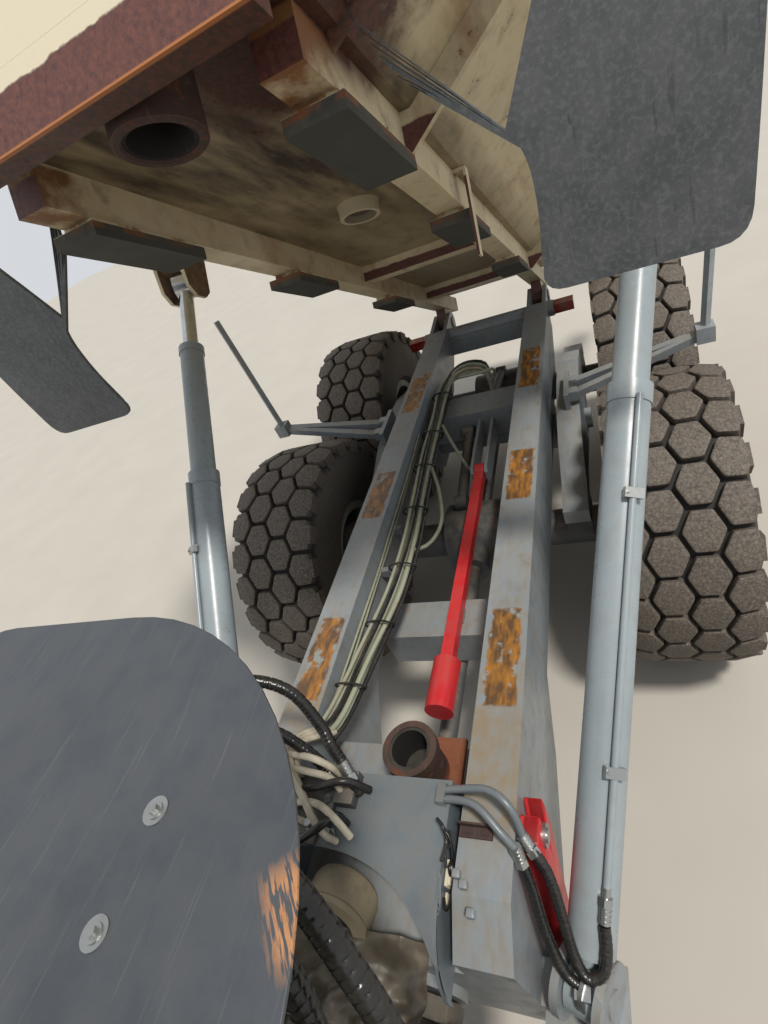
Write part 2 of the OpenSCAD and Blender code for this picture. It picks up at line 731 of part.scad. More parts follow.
module cab_windows() {
    // Rear, front, right side, and the left side's small window behind the door
    block([cab_rear - 10, -560, 2430], [cab_rear + 120, 560, 3230]);
    block([cab_front - 400, -600, 2500], [cab_front + 10, 600, 3240]);
    block([3330, -cab_half - 10, 2380], [4480, -cab_half + 120, 3240]);
    block([side_window[0][0], cab_half - 120, side_window[0][1]],
        [side_window[1][0], cab_half + 10, side_window[1][1]]);
}

module cab_shell() color(cab_cream) {
    difference() {
        cab_outline(0);
        cab_outline(cab_wall);
        cab_windows();
        // Doorway on the left
        block([door_x[0], cab_half - 120, door_z[0]], [door_x[1], cab_half + 10, door_z[1]]);
    }
    // Ears and pins of the door's hinges
    for (z = hinge_heights) {
        post([door_hinge.x, door_hinge.y, z - 20], 10, 100);
        for (low = [z - 5 - 18, z + 60 + 5])
            block([door_hinge.x - 18, cab_half - 1, low], [door_hinge.x + 18, door_hinge.y + 14, low + 18]);
    }
}

module cab_glass() color("#9fb4bd", 0.4)
    intersection() {
        difference() {
            cab_outline(20);
            cab_outline(28);
        }
        union() {
            block([cab_rear - 10, -560 + seat, 2430 + seat], [cab_rear + 100, 560 - seat, 3230 - seat]);
            block([cab_front - 400, -600 + seat, 2500 + seat], [cab_front + 10, 600 - seat, 3240 - seat]);
            block([3330 + seat, -cab_half - 10, 2380 + seat], [4480 - seat, -cab_half + 100, 3240 - seat]);
            block([side_window[0][0] + seat, cab_half - 100, side_window[0][1] + seat],
                [side_window[1][0] - seat, cab_half + 10, side_window[1][1] - seat]);
        }
    }

module cab_door() color(cab_cream) {
    clear = 6;
    difference() {
        block([door_x[0] + clear, cab_half - cab_wall + 5, door_z[0] + clear],
            [door_x[1] - clear, cab_half, door_z[1] - clear]);
        block([door_x[0] + 110, cab_half - 100, 2380], [door_x[1] - 110, cab_half + 10, 3200]);
    }
    // Hinge straps and barrels
    for (z = hinge_heights) {
        block([door_x[1] - 90, cab_half, z], [door_hinge.x, cab_half + 12, z + 60]);
        difference() {
            post([door_hinge.x, door_hinge.y, z], 20, 60);
            post([door_hinge.x, door_hinge.y, z - 1], 10 + run, 62);
        }
    }
    // Grab handle
    block([door_x[0] + 40, cab_half, 2250], [door_x[0] + 70, cab_half + 45, 2280]);
    block([door_x[0] + 40, cab_half, 2080], [door_x[0] + 70, cab_half + 45, 2110]);
    block([door_x[0] + 40, cab_half + 25, 2080], [door_x[0] + 70, cab_half + 45, 2280]);
}

module door_glass() color("#9fb4bd", 0.4)
    block([door_x[0] + 110 + seat, cab_half - 35, 2380 + seat],
        [door_x[1] - 110 - seat, cab_half - 27, 3200 - seat]);

module cab_interior() color("#33363a") {
    floor = cab_low + cab_wall + seat;
    block([3600, -260, floor], [4100, 260, floor + 380]);
    block([3520, -250, floor + 380], [3640, 250, floor + 1050]);
    // Dashboard and steering column
    block([4350, -560, floor], [4600, 560, floor + 640]);
    rod([4420, 0, floor + 600], [4270, 0, floor + 790], 35);
    aim([4270, 0, floor + 790], [-150, 0, 190]) difference() {
        cylinder(h = 30, r = 210);
        translate([0, 0, -1]) cylinder(h = 32, r = 180);
    }
    aim([4270, 0, floor + 790], [-150, 0, 190]) translate([-190, -20, -5]) cube([380, 40, 25]);
}

// Deck and mudguard over each front wheel
module fender()
    side_plate([[guard_rear, 1290], [guard_rear + 30, 1290], [guard_rear + 120, deck_z - deck_t - 60],
        [guard_rear + 200, deck_z - deck_t], [guard_front - 230, deck_z - deck_t],
        [guard_front - 140, deck_z - deck_t - 60], [guard_front - 30, 1200], [guard_front, 1200],
        [guard_front - 90, deck_z - 40], [guard_front - 150, deck_z], [guard_rear + 150, deck_z],
        [guard_rear + 80, deck_z - 30]], cab_half + 30, 1400);

module fenders() color(dark_grey) {
    pair() fender();
    // Carriers under the decks and the cab
    for (x = [3480, 4630]) {
        block([x, -1380, front_top + 80], [x + 90, 1380, cab_low - seat]);
        pair() block([x, front_in, front_top + seat], [x + 90, front_in + front_w, front_top + 90]);
    }
}

// Steps in front of each front wheel, and handrails
module steps_and_rails() color("#3d4145") pair() {
    for (i = [0:3])
        block([step_x - 10 * i, 760, 480 + 290 * i], [step_x + 300 - 10 * i, 1240, 510 + 290 * i]);
    for (y = [752, 1232])
        block([step_x + 10, y, 470], [step_x + 290, y + 16, deck_z - 20]);
    block([step_x - 130, cab_half + 60, deck_z - 30], [step_x + 310, 1250, deck_z]);
    // Bracket to the front rail
    block([step_x + 120, front_in + front_w + seat, front_low + 60],
        [step_x + 220, 760, front_low + 140]);
    // Handrail
    for (x = [step_x - 110, step_x + 280]) rod([x, 1235, deck_z - 10], [x, 1235, 2650], 19);
    rod([step_x + 280, 1235, 2650], [step_x - 110, 1235, 2650], 19);
}

module side_tanks() color(dark_grey) {
    pair() block([tank_x - 200, 660, 780], [tank_x, 1180, 1400]);
    pair() block([tank_x - 130, front_in + front_w + seat, 1250], [tank_x, 661, 1350]);
}

module bumper() color(dark_grey) {
    side_plate([[6452, 1150], [6452, 640], [6640, 640], [nose_x, 720], [nose_x, 1080], [6660, 1150]],
        -1150, 1150);
    // Tow eyes
    pair() difference() {
        union() {
            axle([6560, 400, 590], 60, 40);
            block([6500, 380, 590], [6620, 420, 641]);
        }
        axle([6560, 400, 590], tow_r, 60);
    }
    pair() block([6330, front_in, 900], [6453, front_in + front_w, front_low - seat]);
}

module head_lamps() color("#d9dde0") pair() {
    block([6480, 760, 1150 + seat], [6640, 1080, 1340]);
    translate([6635, 920, 1245]) rotate([0, 90, 0]) cylinder(h = 22, r = 78);
}

module mirrors() color("#26292b") pair() {
    rod([step_x + 85, 1235, 2669 + seat], [step_x + 85, 1235, 2760], 16);
    rod([step_x + 85, 1235, 2745], [step_x + 85, 1340, 2745], 16);
    block([step_x + 50, 1262, 2500], [step_x + 110, 1450, 2900]);
}

// Dark plate behind the cab, over the hitch hoses
module cover_plate() color("#5a5f6b") {
    half = 610;
    left = 560;
    right = 280;
    block([2060 + left, -half, 2640], [3120, half, 2650]);
    block([2060 + right, -half, 2640], [2061 + left, half - left, 2650]);
    block([2060, -half + right, 2640], [2061 + right, half - left, 2650]);
    post([2060 + left, half - left, 2640], left, 10);
    post([2060 + right, -half + right, 2640], right, 10);
    pair() block([3060, 470, front_top + seat], [3110, 520, 2641]);
    pair() block([3060, 400, front_top + seat], [3180, 520, front_top + 30]);
    pair() block([3105, 400, front_top + seat], [3300, 455, front_top + 30]);
}

// Draws one piece in the truck's own frame
module place() translate([frame_shift, 0, 0]) children();

place() rear_frame();
place() rear_axles();
place() rear_driveline();
place() balance_beams();
place() mudguard_arms();
place() exhaust_outlet();
place() valve_cover();
place() rail_hoses();
place() steering_lock_bar();
place() tail_lamps();
place() body_prop();
place() hoist_barrel(1);  // hoist_barrel_left
place() hoist_barrel(-1);  // hoist_barrel_right
place() hoist_stage(1);  // hoist_stage_left
place() hoist_stage(-1);  // hoist_stage_right
place() hoist_rod(1);  // hoist_rod_left
place() hoist_rod(-1);  // hoist_rod_right
place() bed_tub();
place() bed_beams();
place() bed_pads();
place() bed_flaps();
place() tyre(0, 1);  // tyre_mid_left
place() tyre(0, -1);  // tyre_mid_right
place() tyre(-bogie_gap, 1);  // tyre_rear_left
place() tyre(-bogie_gap, -1);  // tyre_rear_right
place() tyre(wheel_base, 1);  // tyre_front_left
place() tyre(wheel_base, -1);  // tyre_front_right
place() rim(0, 1);  // rim_mid_left
place() rim(0, -1);  // rim_mid_right
place() rim(-bogie_gap, 1);  // rim_rear_left
place() rim(-bogie_gap, -1);  // rim_rear_right
place() rim(wheel_base, 1);  // rim_front_left
place() rim(wheel_base, -1);  // rim_front_right
place() hitch_yoke();
place() steering_barrel(1);  // steering_barrel_left
place() steering_barrel(-1);  // steering_barrel_right
place() steering_rod(1);  // steering_rod_left
place() steering_rod(-1);  // steering_rod_right
place() front_frame();
place() front_axle();
place() engine();
place() hood();
place() grille();
place() cab_shell();
place() cab_glass();
place() cab_door();
place() door_glass();
place() cab_interior();
place() fenders();
place() steps_and_rails();
place() side_tanks();
place() bumper();
place() head_lamps();
place() mirrors();
place() cover_plate();
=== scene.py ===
# %% [markdown]
# # An articulated dump truck with its bed raised
# The CAD model gives every piece its size and its joints. This script dresses it: worn paint,
# rust, dust, lugged tyres, rubber flaps and the many hoses. The first cell loads the model as a
# fixed frame.

# %% Load the frame
import math
import random
import bmesh
import bpy
from mathutils import Matrix, Vector, noise


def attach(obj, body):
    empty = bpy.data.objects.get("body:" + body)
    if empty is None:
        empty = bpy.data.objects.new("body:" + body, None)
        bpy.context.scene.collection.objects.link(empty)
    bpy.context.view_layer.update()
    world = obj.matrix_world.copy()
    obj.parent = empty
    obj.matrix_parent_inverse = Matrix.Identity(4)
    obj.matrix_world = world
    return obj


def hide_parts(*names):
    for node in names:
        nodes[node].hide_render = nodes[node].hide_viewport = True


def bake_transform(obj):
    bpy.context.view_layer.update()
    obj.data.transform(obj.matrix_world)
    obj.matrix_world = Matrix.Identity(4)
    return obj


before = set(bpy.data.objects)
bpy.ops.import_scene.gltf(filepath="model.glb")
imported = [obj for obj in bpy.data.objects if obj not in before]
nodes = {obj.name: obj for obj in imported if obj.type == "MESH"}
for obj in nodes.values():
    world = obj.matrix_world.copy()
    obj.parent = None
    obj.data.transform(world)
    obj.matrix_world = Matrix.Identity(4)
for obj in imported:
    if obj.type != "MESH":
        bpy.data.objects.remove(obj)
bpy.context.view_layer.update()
chance = random.Random(7)
print("CAD nodes:", len(nodes))

# %% [markdown]
# ## Places on the truck
# The drawings count millimetres forward from the front bogie axle. A short function turns them
# into scene metres, and route() turns a list of them, on the left or mirrored to the right. The
# bed has its own axes, which start at its hinge and are turned up by 28 degrees.

# %% Points on the truck and on the bed
SHIFT = -1.429967
TILT = math.radians(28)
HINGE = Vector((-2.170 + SHIFT, 0, 1.400))


def truck(x, y, z):
    return Vector((x / 1000 + SHIFT, y / 1000, z / 1000))


def route(points, sign=1):
    return [truck(x, y * sign, z) for x, y, z in points]


SIDES = (("left", 1), ("right", -1))
AXLES = (("front", 4180), ("mid", 0), ("rear", -1700))
bed_axes = Matrix.Translation(HINGE) @ Matrix.Rotation(-TILT, 4, "Y")
print("bed hinge at", tuple(round(c, 3) for c in HINGE))

# %% [markdown]
# ## The camera
# The picture was taken from the deck behind the cab, looking back and down, with a wide lens. The
# three axes below were solved from the rails, the wheels and the hoists.

# %% Camera
right = Vector((-0.231939, 0.897707, -0.374602))
down = Vector((0.679709, -0.125914, -0.722593))
forward = Vector((-0.695845, -0.422218, -0.580975))
lens_data = bpy.data.cameras.new("deck_camera")
lens_data.sensor_fit = "VERTICAL"
lens_data.sensor_height = 36
lens_data.lens = 547.369 * 36 / 1024
lens_data.clip_start = 0.05
camera = bpy.data.objects.new("deck_camera", lens_data)
turn = Matrix((right, -down, -forward)).transposed().to_4x4()
camera.matrix_world = Matrix.Translation(truck(2548.9, 962.1, 3252.0)) @ turn
bpy.context.scene.collection.objects.link(camera)
bpy.context.scene.camera = camera

# %% [markdown]
# ## Adding nodes
# A material is a tree of nodes. One small function adds a node, sets its options and wires its
# inputs, so that the trees below read as a list of steps. both() multiplies two masks, which
# keeps only the places where both of them hold.

# %% Node helper and colours
def add(tree, kind, wires=None, **options):
    node = tree.nodes.new("ShaderNode" + kind)
    for key, value in options.items():
        setattr(node, key, value)
    for socket, value in (wires or {}).items():
        if isinstance(value, bpy.types.NodeSocket):
            tree.links.new(value, node.inputs[socket])
        else:
            node.inputs[socket].default_value = value
    return node


def colour(code):
    parts = [int(code[i:i + 2], 16) / 255 for i in (1, 3, 5)]
    return tuple(p / 12.92 if p <= 0.04045 else ((p + 0.055) / 1.055) ** 2.4 for p in parts) + (1,)


def layer(tree, mask, under, over):
    mix = add(tree, "Mix", {0: mask, 6: under, 7: over}, data_type="RGBA")
    return mix.outputs[2]


def cut(tree, value, low, high):
    ramp = add(tree, "MapRange", {"Value": value, "From Min": low, "From Max": high})
    return ramp.outputs["Result"]


def maths(tree, operation, a, b):
    return add(tree, "Math", {0: a, 1: b}, operation=operation, use_clamp=False).outputs[0]


def both(tree, a, b):
    return maths(tree, "MULTIPLY", a, b)


def grain(tree, place, scale, detail=2, rough=0.5):
    return add(tree, "TexNoise", {"Vector": place, "Scale": scale, "Detail": detail,
                                  "Roughness": rough}).outputs[0]


def stretched(tree, place, scale, turn=(0, 0, 0)):
    return add(tree, "Mapping", {"Vector": place, "Rotation": turn, "Scale": scale}).outputs[0]


def blank(name):
    material = bpy.data.materials.new(name)
    material.use_nodes = True
    tree = material.node_tree
    return material, tree, tree.nodes["Principled BSDF"], add(tree, "TexCoord").outputs["Object"]


# %% [markdown]
# ## Weathered paint
# Nearly every plate is mild steel with a thick sprayed coat of enamel. Outdoors the enamel fades
# in clouds, dust settles on what faces up, and rust starts at chips and runs. Four noises at real
# sizes give these: clouds of about 400 mm, blotches of 80 mm, chips of 10 mm and an orange peel
# of 3 mm.

# %% Weathered paint
def weathered(name, fresh, faded, rust=0.25, dust=0.5, rough=0.5, rusty="#7c4a26", dusty="#9a8f7c",
              grime=0.3, metallic=0.0, scratch=0.12, patches=None):
    material, tree, shader, place = blank(name)
    normal = add(tree, "NewGeometry").outputs["Normal"]
    up = add(tree, "SeparateXYZ", {0: normal}).outputs["Z"]
    clouds = grain(tree, place, 2.5, 4)
    blotch = grain(tree, place, 12, 8, 0.62)
    chips = grain(tree, place, 70, 6, 0.7)
    peel = grain(tree, place, 340)
    paint = layer(tree, cut(tree, clouds, 0.3, 0.7), colour(fresh), colour(faded))
    paint = layer(tree, both(tree, cut(tree, blotch, 0.5, 0.72), grime), paint,
                  colour("#3a352e"))
    scored = grain(tree, stretched(tree, place, (6, 170, 30), (0, 0, 0.5)), 1, 3)
    paint = layer(tree, both(tree, cut(tree, scored, 0.62, 0.72), scratch), paint,
                  colour("#a3a5a2"))
    settled = both(tree, cut(tree, up, 0.1, 0.9), cut(tree, blotch, 0.36, 0.6))
    settled = both(tree, settled, dust)
    paint = layer(tree, settled, paint, colour(dusty))
    marks = maths(tree, "ADD", both(tree, blotch, 0.55), both(tree, chips, 0.45))
    rusted = cut(tree, marks, 0.66 - 0.16 * rust, 0.70 - 0.16 * rust)
    tone = layer(tree, chips, colour("#3f261a"), colour(rusty))
    paint = layer(tree, rusted, paint, tone)
    for extra in (patches(tree, place, normal, blotch, chips) if patches else []):
        paint = layer(tree, extra[0], paint, extra[1])
    height = maths(tree, "ADD", both(tree, peel, 0.2), both(tree, chips, rusted))
    bump = add(tree, "Bump", {"Height": height, "Strength": 0.35, "Distance": 0.003})
    wear = maths(tree, "ADD", blotch, rusted)
    spread = add(tree, "MapRange", {"Value": wear, "From Min": 0.3, "From Max": 1.6,
                                    "To Min": rough - 0.1, "To Max": min(rough + 0.35, 0.95)})
    tree.links.new(paint, shader.inputs["Base Color"])
    tree.links.new(spread.outputs[0], shader.inputs["Roughness"])
    tree.links.new(bump.outputs[0], shader.inputs["Normal"])
    shader.inputs["Metallic"].default_value = metallic
    return material


def band(tree, value, low, high, soft):
    rise = cut(tree, value, low - soft, low + soft)
    fall = cut(tree, value, high + soft, high - soft)
    return both(tree, rise, fall)


# %% [markdown]
# The rails carry the lowered bed on six rubber pads, and each pad has rubbed a patch of paint off
# the rail below it. A patch is a box in space with a ragged edge, so it lands under its pad.

# %% Patches rubbed by the pads
PAD_PATCHES = [(1.345, 0.215), (0.235, 0.205), (-0.900, 0.260)]


def pad_wear(tree, place, normal, blotch, chips):
    split = add(tree, "SeparateXYZ", {0: place})
    ragged = both(tree, blotch, 0.06)
    x = maths(tree, "ADD", split.outputs["X"], ragged)
    y = maths(tree, "ADD", maths(tree, "ABSOLUTE", split.outputs["Y"], 0), ragged)
    side = band(tree, y, 0.382, 0.506, 0.004)
    top = cut(tree, split.outputs["Z"], 1.455, 1.459)
    mask = None
    for centre, half in PAD_PATCHES:
        one = band(tree, x, centre + SHIFT - half + 0.03, centre + SHIFT + half + 0.03, 0.006)
        mask = one if mask is None else maths(tree, "MAXIMUM", mask, one)
    mask = both(tree, both(tree, mask, side), top)
    streaks = grain(tree, stretched(tree, place, (14, 40, 1)), 1, 6)
    tone = layer(tree, cut(tree, streaks, 0.35, 0.6), colour("#a06c2c"), colour("#5a4430"))
    tone = layer(tree, cut(tree, blotch, 0.55, 0.62), tone, colour("#868a86"))
    soil = both(tree, cut(tree, streaks, 0.5, 0.7), 0.35)
    front = band(tree, x, 1.50 + SHIFT, 2.02 + SHIFT, 0.05)
    front = both(tree, both(tree, front, top), cut(tree, blotch, 0.3, 0.6))
    return [(soil, colour("#7d6a52")), (both(tree, front, 0.75), colour("#84745a")),
            (mask, tone)]


# %% [markdown]
# The bed is one welded shell. Outside it is cream enamel. Under the front the exhaust has cooked
# the header to a maroon rust, and inside, where rock slides, the plate is bare and rusty. The
# masks work in the bed's own axes: a Mapping node of the texture kind turns scene places back to
# them.

# %% Patches of the bed
def bed_places(tree, place):
    back = add(tree, "Mapping", {"Vector": place, "Location": HINGE,
                                 "Rotation": (0, -TILT, 0)}, vector_type="TEXTURE")
    return add(tree, "SeparateXYZ", {0: back.outputs[0]})


def bed_wear_and_shade(tree, place, normal, blotch, chips):
    split = bed_places(tree, place)
    local = add(tree, "Mapping", {"Vector": normal, "Rotation": (0, -TILT, 0)},
                vector_type="TEXTURE")
    facing = add(tree, "SeparateXYZ", {0: local.outputs[0]})
    x, y, z = (split.outputs[axis] for axis in "XYZ")
    beside = maths(tree, "ABSOLUTE", y, 0)
    ragged = both(tree, maths(tree, "SUBTRACT", blotch, 0.5), 0.5)
    front = maths(tree, "ADD", x, ragged)
    down = cut(tree, facing.outputs["Z"], -0.35, -0.6)
    streaks = grain(tree, stretched(tree, place, (1.3, 5, 1.3)), 1.6, 7, 0.6)
    floor_mask = both(tree, down, cut(tree, z, 0.232, 0.238))
    floor_mask = both(tree, floor_mask, cut(tree, beside, 0.60, 0.50))
    # painted shade: faces under the floor that point down are darkened to olive brown
    painted_underside_shade = both(tree, floor_mask, 0.75)
    soot = both(tree, both(tree, floor_mask, cut(tree, front, 1.7, 3.3)),
                cut(tree, streaks, 0.36, 0.62))
    corner = both(tree, cut(tree, front, 3.40, 3.62), cut(tree, y, 0.02, 0.16))
    corner = both(tree, corner, cut(tree, z, 0.50, 0.40))
    corner = both(tree, corner, cut(tree, z, 0.15, 0.22))
    end = both(tree, cut(tree, front, 3.70, 3.86), cut(tree, z, 0.236, 0.230))
    face = cut(tree, facing.outputs["X"], 0.5, 0.8)
    lower = cut(tree, maths(tree, "ADD", z, both(tree, ragged, 0.06)), 0.206, 0.200)
    header = both(tree, face, lower)
    lip = both(tree, cut(tree, x, 4.108, 4.112), cut(tree, z, 0.106, 0.103))
    under = both(tree, cut(tree, x, 4.045, 4.05), cut(tree, z, 0.240, 0.238))
    clean = both(tree, cut(tree, x, 4.115, 4.118), cut(tree, lower, 0.9, 0.1))
    wide = both(tree, face, cut(tree, blotch, 0.64, 0.68))
    ring = maths(tree, "POWER", maths(tree, "SUBTRACT", x, 2.74), 2)
    ring = maths(tree, "ADD", ring, maths(tree, "POWER", maths(tree, "SUBTRACT", y, 0.07), 2))
    socket = both(tree, cut(tree, ring, 0.0082, 0.0076), cut(tree, z, 0.245, 0.24))
    inward = both(tree, y, facing.outputs["Y"])
    inside = maths(tree, "MAXIMUM", cut(tree, facing.outputs["Z"], 0.1, 0.2),
                   cut(tree, inward, -0.3, -0.5))
    inside = both(tree, inside, cut(tree, z, 1.49, 1.45))
    bare = layer(tree, cut(tree, blotch, 0.4, 0.6), colour("#7b6552"), colour("#4d3a2e"))
    cooked = layer(tree, cut(tree, chips, 0.35, 0.7), colour("#6d4236"), colour("#44292a"))
    brown = layer(tree, cut(tree, chips, 0.35, 0.6), colour("#5e3423"), colour("#38241f"))
    stain = both(tree, cut(tree, streaks, 0.55, 0.66), 0.45)
    pale = layer(tree, cut(tree, ring, 0.0050, 0.0044), colour("#b9ad92"), colour("#5d5245"))
    return [(stain, colour("#94683c")), (painted_underside_shade, colour("#857656")), (soot, colour("#382e25")),
            (corner, brown), (end, colour("#7d5532")), (under, brown), (clean, colour("#d3c8ae")),
            (wide, colour("#8a5a34")), (header, cooked), (lip, colour("#a5683a")),
            (socket, pale), (inside, bare)]


# %% Redder iron at the outlet's flange
def outlet_box(tree, place, normal, blotch, chips):
    split = add(tree, "SeparateXYZ", {0: place})
    near = both(tree, cut(tree, split.outputs["Z"], 1.30, 1.256),
                cut(tree, split.outputs["Z"], 1.20, 1.21))
    return [(near, layer(tree, chips, colour("#5b3020"), colour("#8d5636")))]


# %% [markdown]
# Something heavy has been dragged over the deck plate and left a rusty scrape near its edge.

# %% Scrape on the deck plate
def plate_wear(tree, place, normal, blotch, chips):
    back = add(tree, "Mapping", {"Vector": place, "Location": truck(2455, 582, 0),
                                 "Rotation": (0, 0, 0.62)}, vector_type="TEXTURE")
    split = add(tree, "SeparateXYZ", {0: back.outputs[0]})
    fine = grain(tree, stretched(tree, back.outputs[0], (30, 260, 1)), 1)
    zone = both(tree, band(tree, split.outputs["X"], -0.045, 0.045, 0.015),
                band(tree, split.outputs["Y"], -0.030, 0.030, 0.012))
    scrape = both(tree, zone, cut(tree, fine, 0.42, 0.50))
    return [(scrape, layer(tree, chips, colour("#c9976a"), colour("#8a5530")))]


# %% [markdown]
# ## The finishes
# Each is named for the real material. The hex values were read beside the picture.

# %% Paints
frame_enamel = weathered("grey_frame_enamel", "#858c90", "#787f83", 0.2, 0.3, 0.42,
                         patches=pad_wear)
axle_enamel = weathered("dark_axle_enamel", "#4b5053", "#3f4346", 0.5, 0.4, 0.6, scratch=0)
bed_enamel = weathered("cream_bed_enamel", "#d6c8a8", "#c3b491", 0.30, 0.1, 0.55,
                       "#8a4a22", scratch=0.05, patches=bed_wear_and_shade)
cab_enamel = weathered("cream_cab_enamel", "#dfd5ba", "#cfc3a4", 0.08, 0.25, 0.35)
hoist_enamel = weathered("light_hoist_enamel", "#929ca0", "#848e93", 0.08, 0.12, 0.33, grime=0.12)
cover_enamel = weathered("valve_cover_enamel", "#666e73", "#5c6368", 0.1, 0.15, 0.38, grime=0.2)
plate_enamel = weathered("blue_black_plate_enamel", "#42464b", "#393d42", 0.0, 0.08, 0.5,
                         dusty="#84868a", grime=0.15, scratch=0.08, patches=plate_wear)
red_enamel = weathered("red_warning_enamel", "#c9252d", "#b3262c", 0.12, 0.1, 0.4, grime=0.2)
rusty_iron = weathered("scaled_exhaust_iron", "#33241f", "#452f27", 0.7, 0.05, 0.85,
                       rusty="#6b3f28", patches=outlet_box)
hitch_iron = weathered("oily_cast_iron", "#5b5650", "#4b463f", 0.6, 0.5, 0.65)
# soot on the pipe walls, and painted shade on the discs that close the pipes
soot_and_shade_black = weathered("exhaust_soot_and_shade", "#1d1a18", "#151312", 0.0, 0.1, 0.9, grime=0, scratch=0)
dirty_leather = weathered("oily_canvas", "#5d5549", "#3f3a33", 0.0, 0.3, 0.5, grime=0.5)
engine_iron = weathered("engine_cast_iron", "#4a4d50", "#3d4042", 0.3, 0.4, 0.6)
rim_enamel = weathered("dusty_rim_enamel", "#8d9089", "#78776c", 0.4, 0.5, 0.6, grime=0.5)
trim_plastic = weathered("black_moulded_abs", "#26282a", "#313335", 0.0, 0.35, 0.5)
seat_vinyl = weathered("grey_seat_vinyl", "#33363a", "#2a2c2f", 0.0, 0.2, 0.55)
print("materials:", len(bpy.data.materials))

# %% [markdown]
# Rubber is matt and full of fine scuffs. The tyres are grey-brown with dried mud, palest on the
# tops of the lugs, and a painted shade makes them darkest in the grooves. The flaps and the hoses
# are darker.

# %% Rubbers
def tread_wear_and_shade(tree, place, normal, blotch, chips):
    height = add(tree, "Attribute", attribute_name="tread").outputs["Fac"]
    crack = add(tree, "TexVoronoi", {"Vector": place, "Scale": 55}, feature="DISTANCE_TO_EDGE")
    crack = both(tree, cut(tree, crack.outputs["Distance"], 0.10, 0.02), 0.5)
    worn = layer(tree, cut(tree, chips, 0.35, 0.65), colour("#7a7064"), colour("#4a433c"))
    return [(both(tree, height, 0.8), worn),
            (both(tree, crack, height), colour("#2b2622")),
            # painted shade: the near-black colour darkens the groove floors and the feet of the
            # lugs
            (cut(tree, height, 0.35, 0.05), colour("#211e1b"))]


def scuffs(tree, place, normal, blotch, chips):
    line = grain(tree, stretched(tree, place, (1, 60, 7), (0.5, 0, 0)), 1, 5)
    dusty = both(tree, cut(tree, blotch, 0.42, 0.66), 0.55)
    speck = both(tree, cut(tree, chips, 0.48, 0.62), 0.35)
    return [(dusty, colour("#6b6e6f")), (speck, colour("#7d8081")),
            (both(tree, cut(tree, line, 0.66, 0.70), 0.35), colour("#2b2d2f"))]


def pad_edges(tree, place, normal, blotch, chips):
    split = bed_places(tree, place)
    z = split.outputs["Z"]
    spacer = cut(tree, z, 0.1035, 0.1045)
    rim = both(tree, band(tree, z, 0.088, 0.103, 0.002), cut(tree, blotch, 0.4, 0.6))
    return [(rim, colour("#7a4a2a")), (spacer, layer(tree, cut(tree, blotch, 0.5, 0.6),
                                                      colour("#c9bb98"), colour("#8a5a34")))]


tyre_rubber = weathered("muddy_tyre_rubber", "#47423d", "#3a3633", 0.0, 0.35, 0.8,
                        dusty="#6e655a", grime=0.4, scratch=0, patches=tread_wear_and_shade)
flap_rubber = weathered("scuffed_sheet_rubber", "#55585a", "#4a4d4f", 0.0, 0.1, 0.7,
                        dusty="#77756f", grime=0.35, scratch=0.1, patches=scuffs)
pad_rubber = weathered("pad_rubber", "#45463f", "#363733", 0.0, 0.5, 0.8, dusty="#8a7f6c",
                       scratch=0.05, patches=pad_edges)
hose_rubber = weathered("black_hose_rubber", "#141516", "#1d1e20", 0.0, 0.08, 0.28, grime=0,
                        scratch=0)
pale_hose = weathered("dusty_green_hose", "#9da08a", "#8b8f7c", 0.0, 0.4, 0.6, grime=0.4)
sand_hose = weathered("dusty_sand_hose", "#b3a588", "#9c8e72", 0.0, 0.4, 0.6, grime=0.4)
cream_tape = weathered("cream_wrapped_tape", "#d9d0bb", "#bfb59c", 0.0, 0.3, 0.7, grime=0.5)

# %% [markdown]
# ## Bright metal, lamps and glass
# The rods are hard chrome on ground steel, and the bolts and fittings are zinc plated. A metal
# keeps the default IOR. Glass is thin, slightly tinted and mostly see-through.

# %% Metals
hard_chrome = weathered("hard_chrome", "#d5d8da", "#c3c7c9", 0.0, 0.1, 0.2, metallic=1.0,
                        grime=0.15)
zinc_plate = weathered("zinc_plate", "#b9bcbb", "#9fa19d", 0.1, 0.1, 0.35, metallic=0.9)


def lens_plastic(name, code):
    material, tree, shader, place = blank(name)
    ribs = add(tree, "TexWave", {"Vector": place, "Scale": 40, "Distortion": 0.2},
               bands_direction="Z")
    bump = add(tree, "Bump", {"Height": ribs.outputs["Fac"], "Strength": 0.3, "Distance": 0.002})
    cloud = grain(tree, place, 9, 5)
    dirt = both(tree, cut(tree, cloud, 0.45, 0.7), 0.4)
    tree.links.new(layer(tree, dirt, colour(code), colour("#7d7466")), shader.inputs["Base Color"])
    tree.links.new(bump.outputs[0], shader.inputs["Normal"])
    shader.inputs["Roughness"].default_value = 0.15
    shader.inputs["Coat Weight"].default_value = 0.5
    return material


red_lens = lens_plastic("red_polycarbonate", "#8e1f1a")
clear_lens = lens_plastic("clear_polycarbonate", "#d9dde0")


# %% Glass
def window_glass(name):
    material, tree, shader, place = blank(name)
    film = grain(tree, place, 6, 6)
    spread = add(tree, "MapRange", {"Value": film, "To Min": 0.02, "To Max": 0.22})
    tree.links.new(spread.outputs[0], shader.inputs["Roughness"])
    tree.links.new(layer(tree, cut(tree, film, 0.4, 0.8), colour("#8fa6a8"), colour("#a8aba0")),
                   shader.inputs["Base Color"])
    shader.inputs["Transmission Weight"].default_value = 0.8
    shader.inputs["IOR"].default_value = 1.45
    shader.inputs["Alpha"].default_value = 0.45
    return material


cab_pane = window_glass("dusty_cab_glass")

# %% [markdown]
# ## Dressing the CAD nodes
# A CAD node keeps its mesh and gets its finish in its material slots.

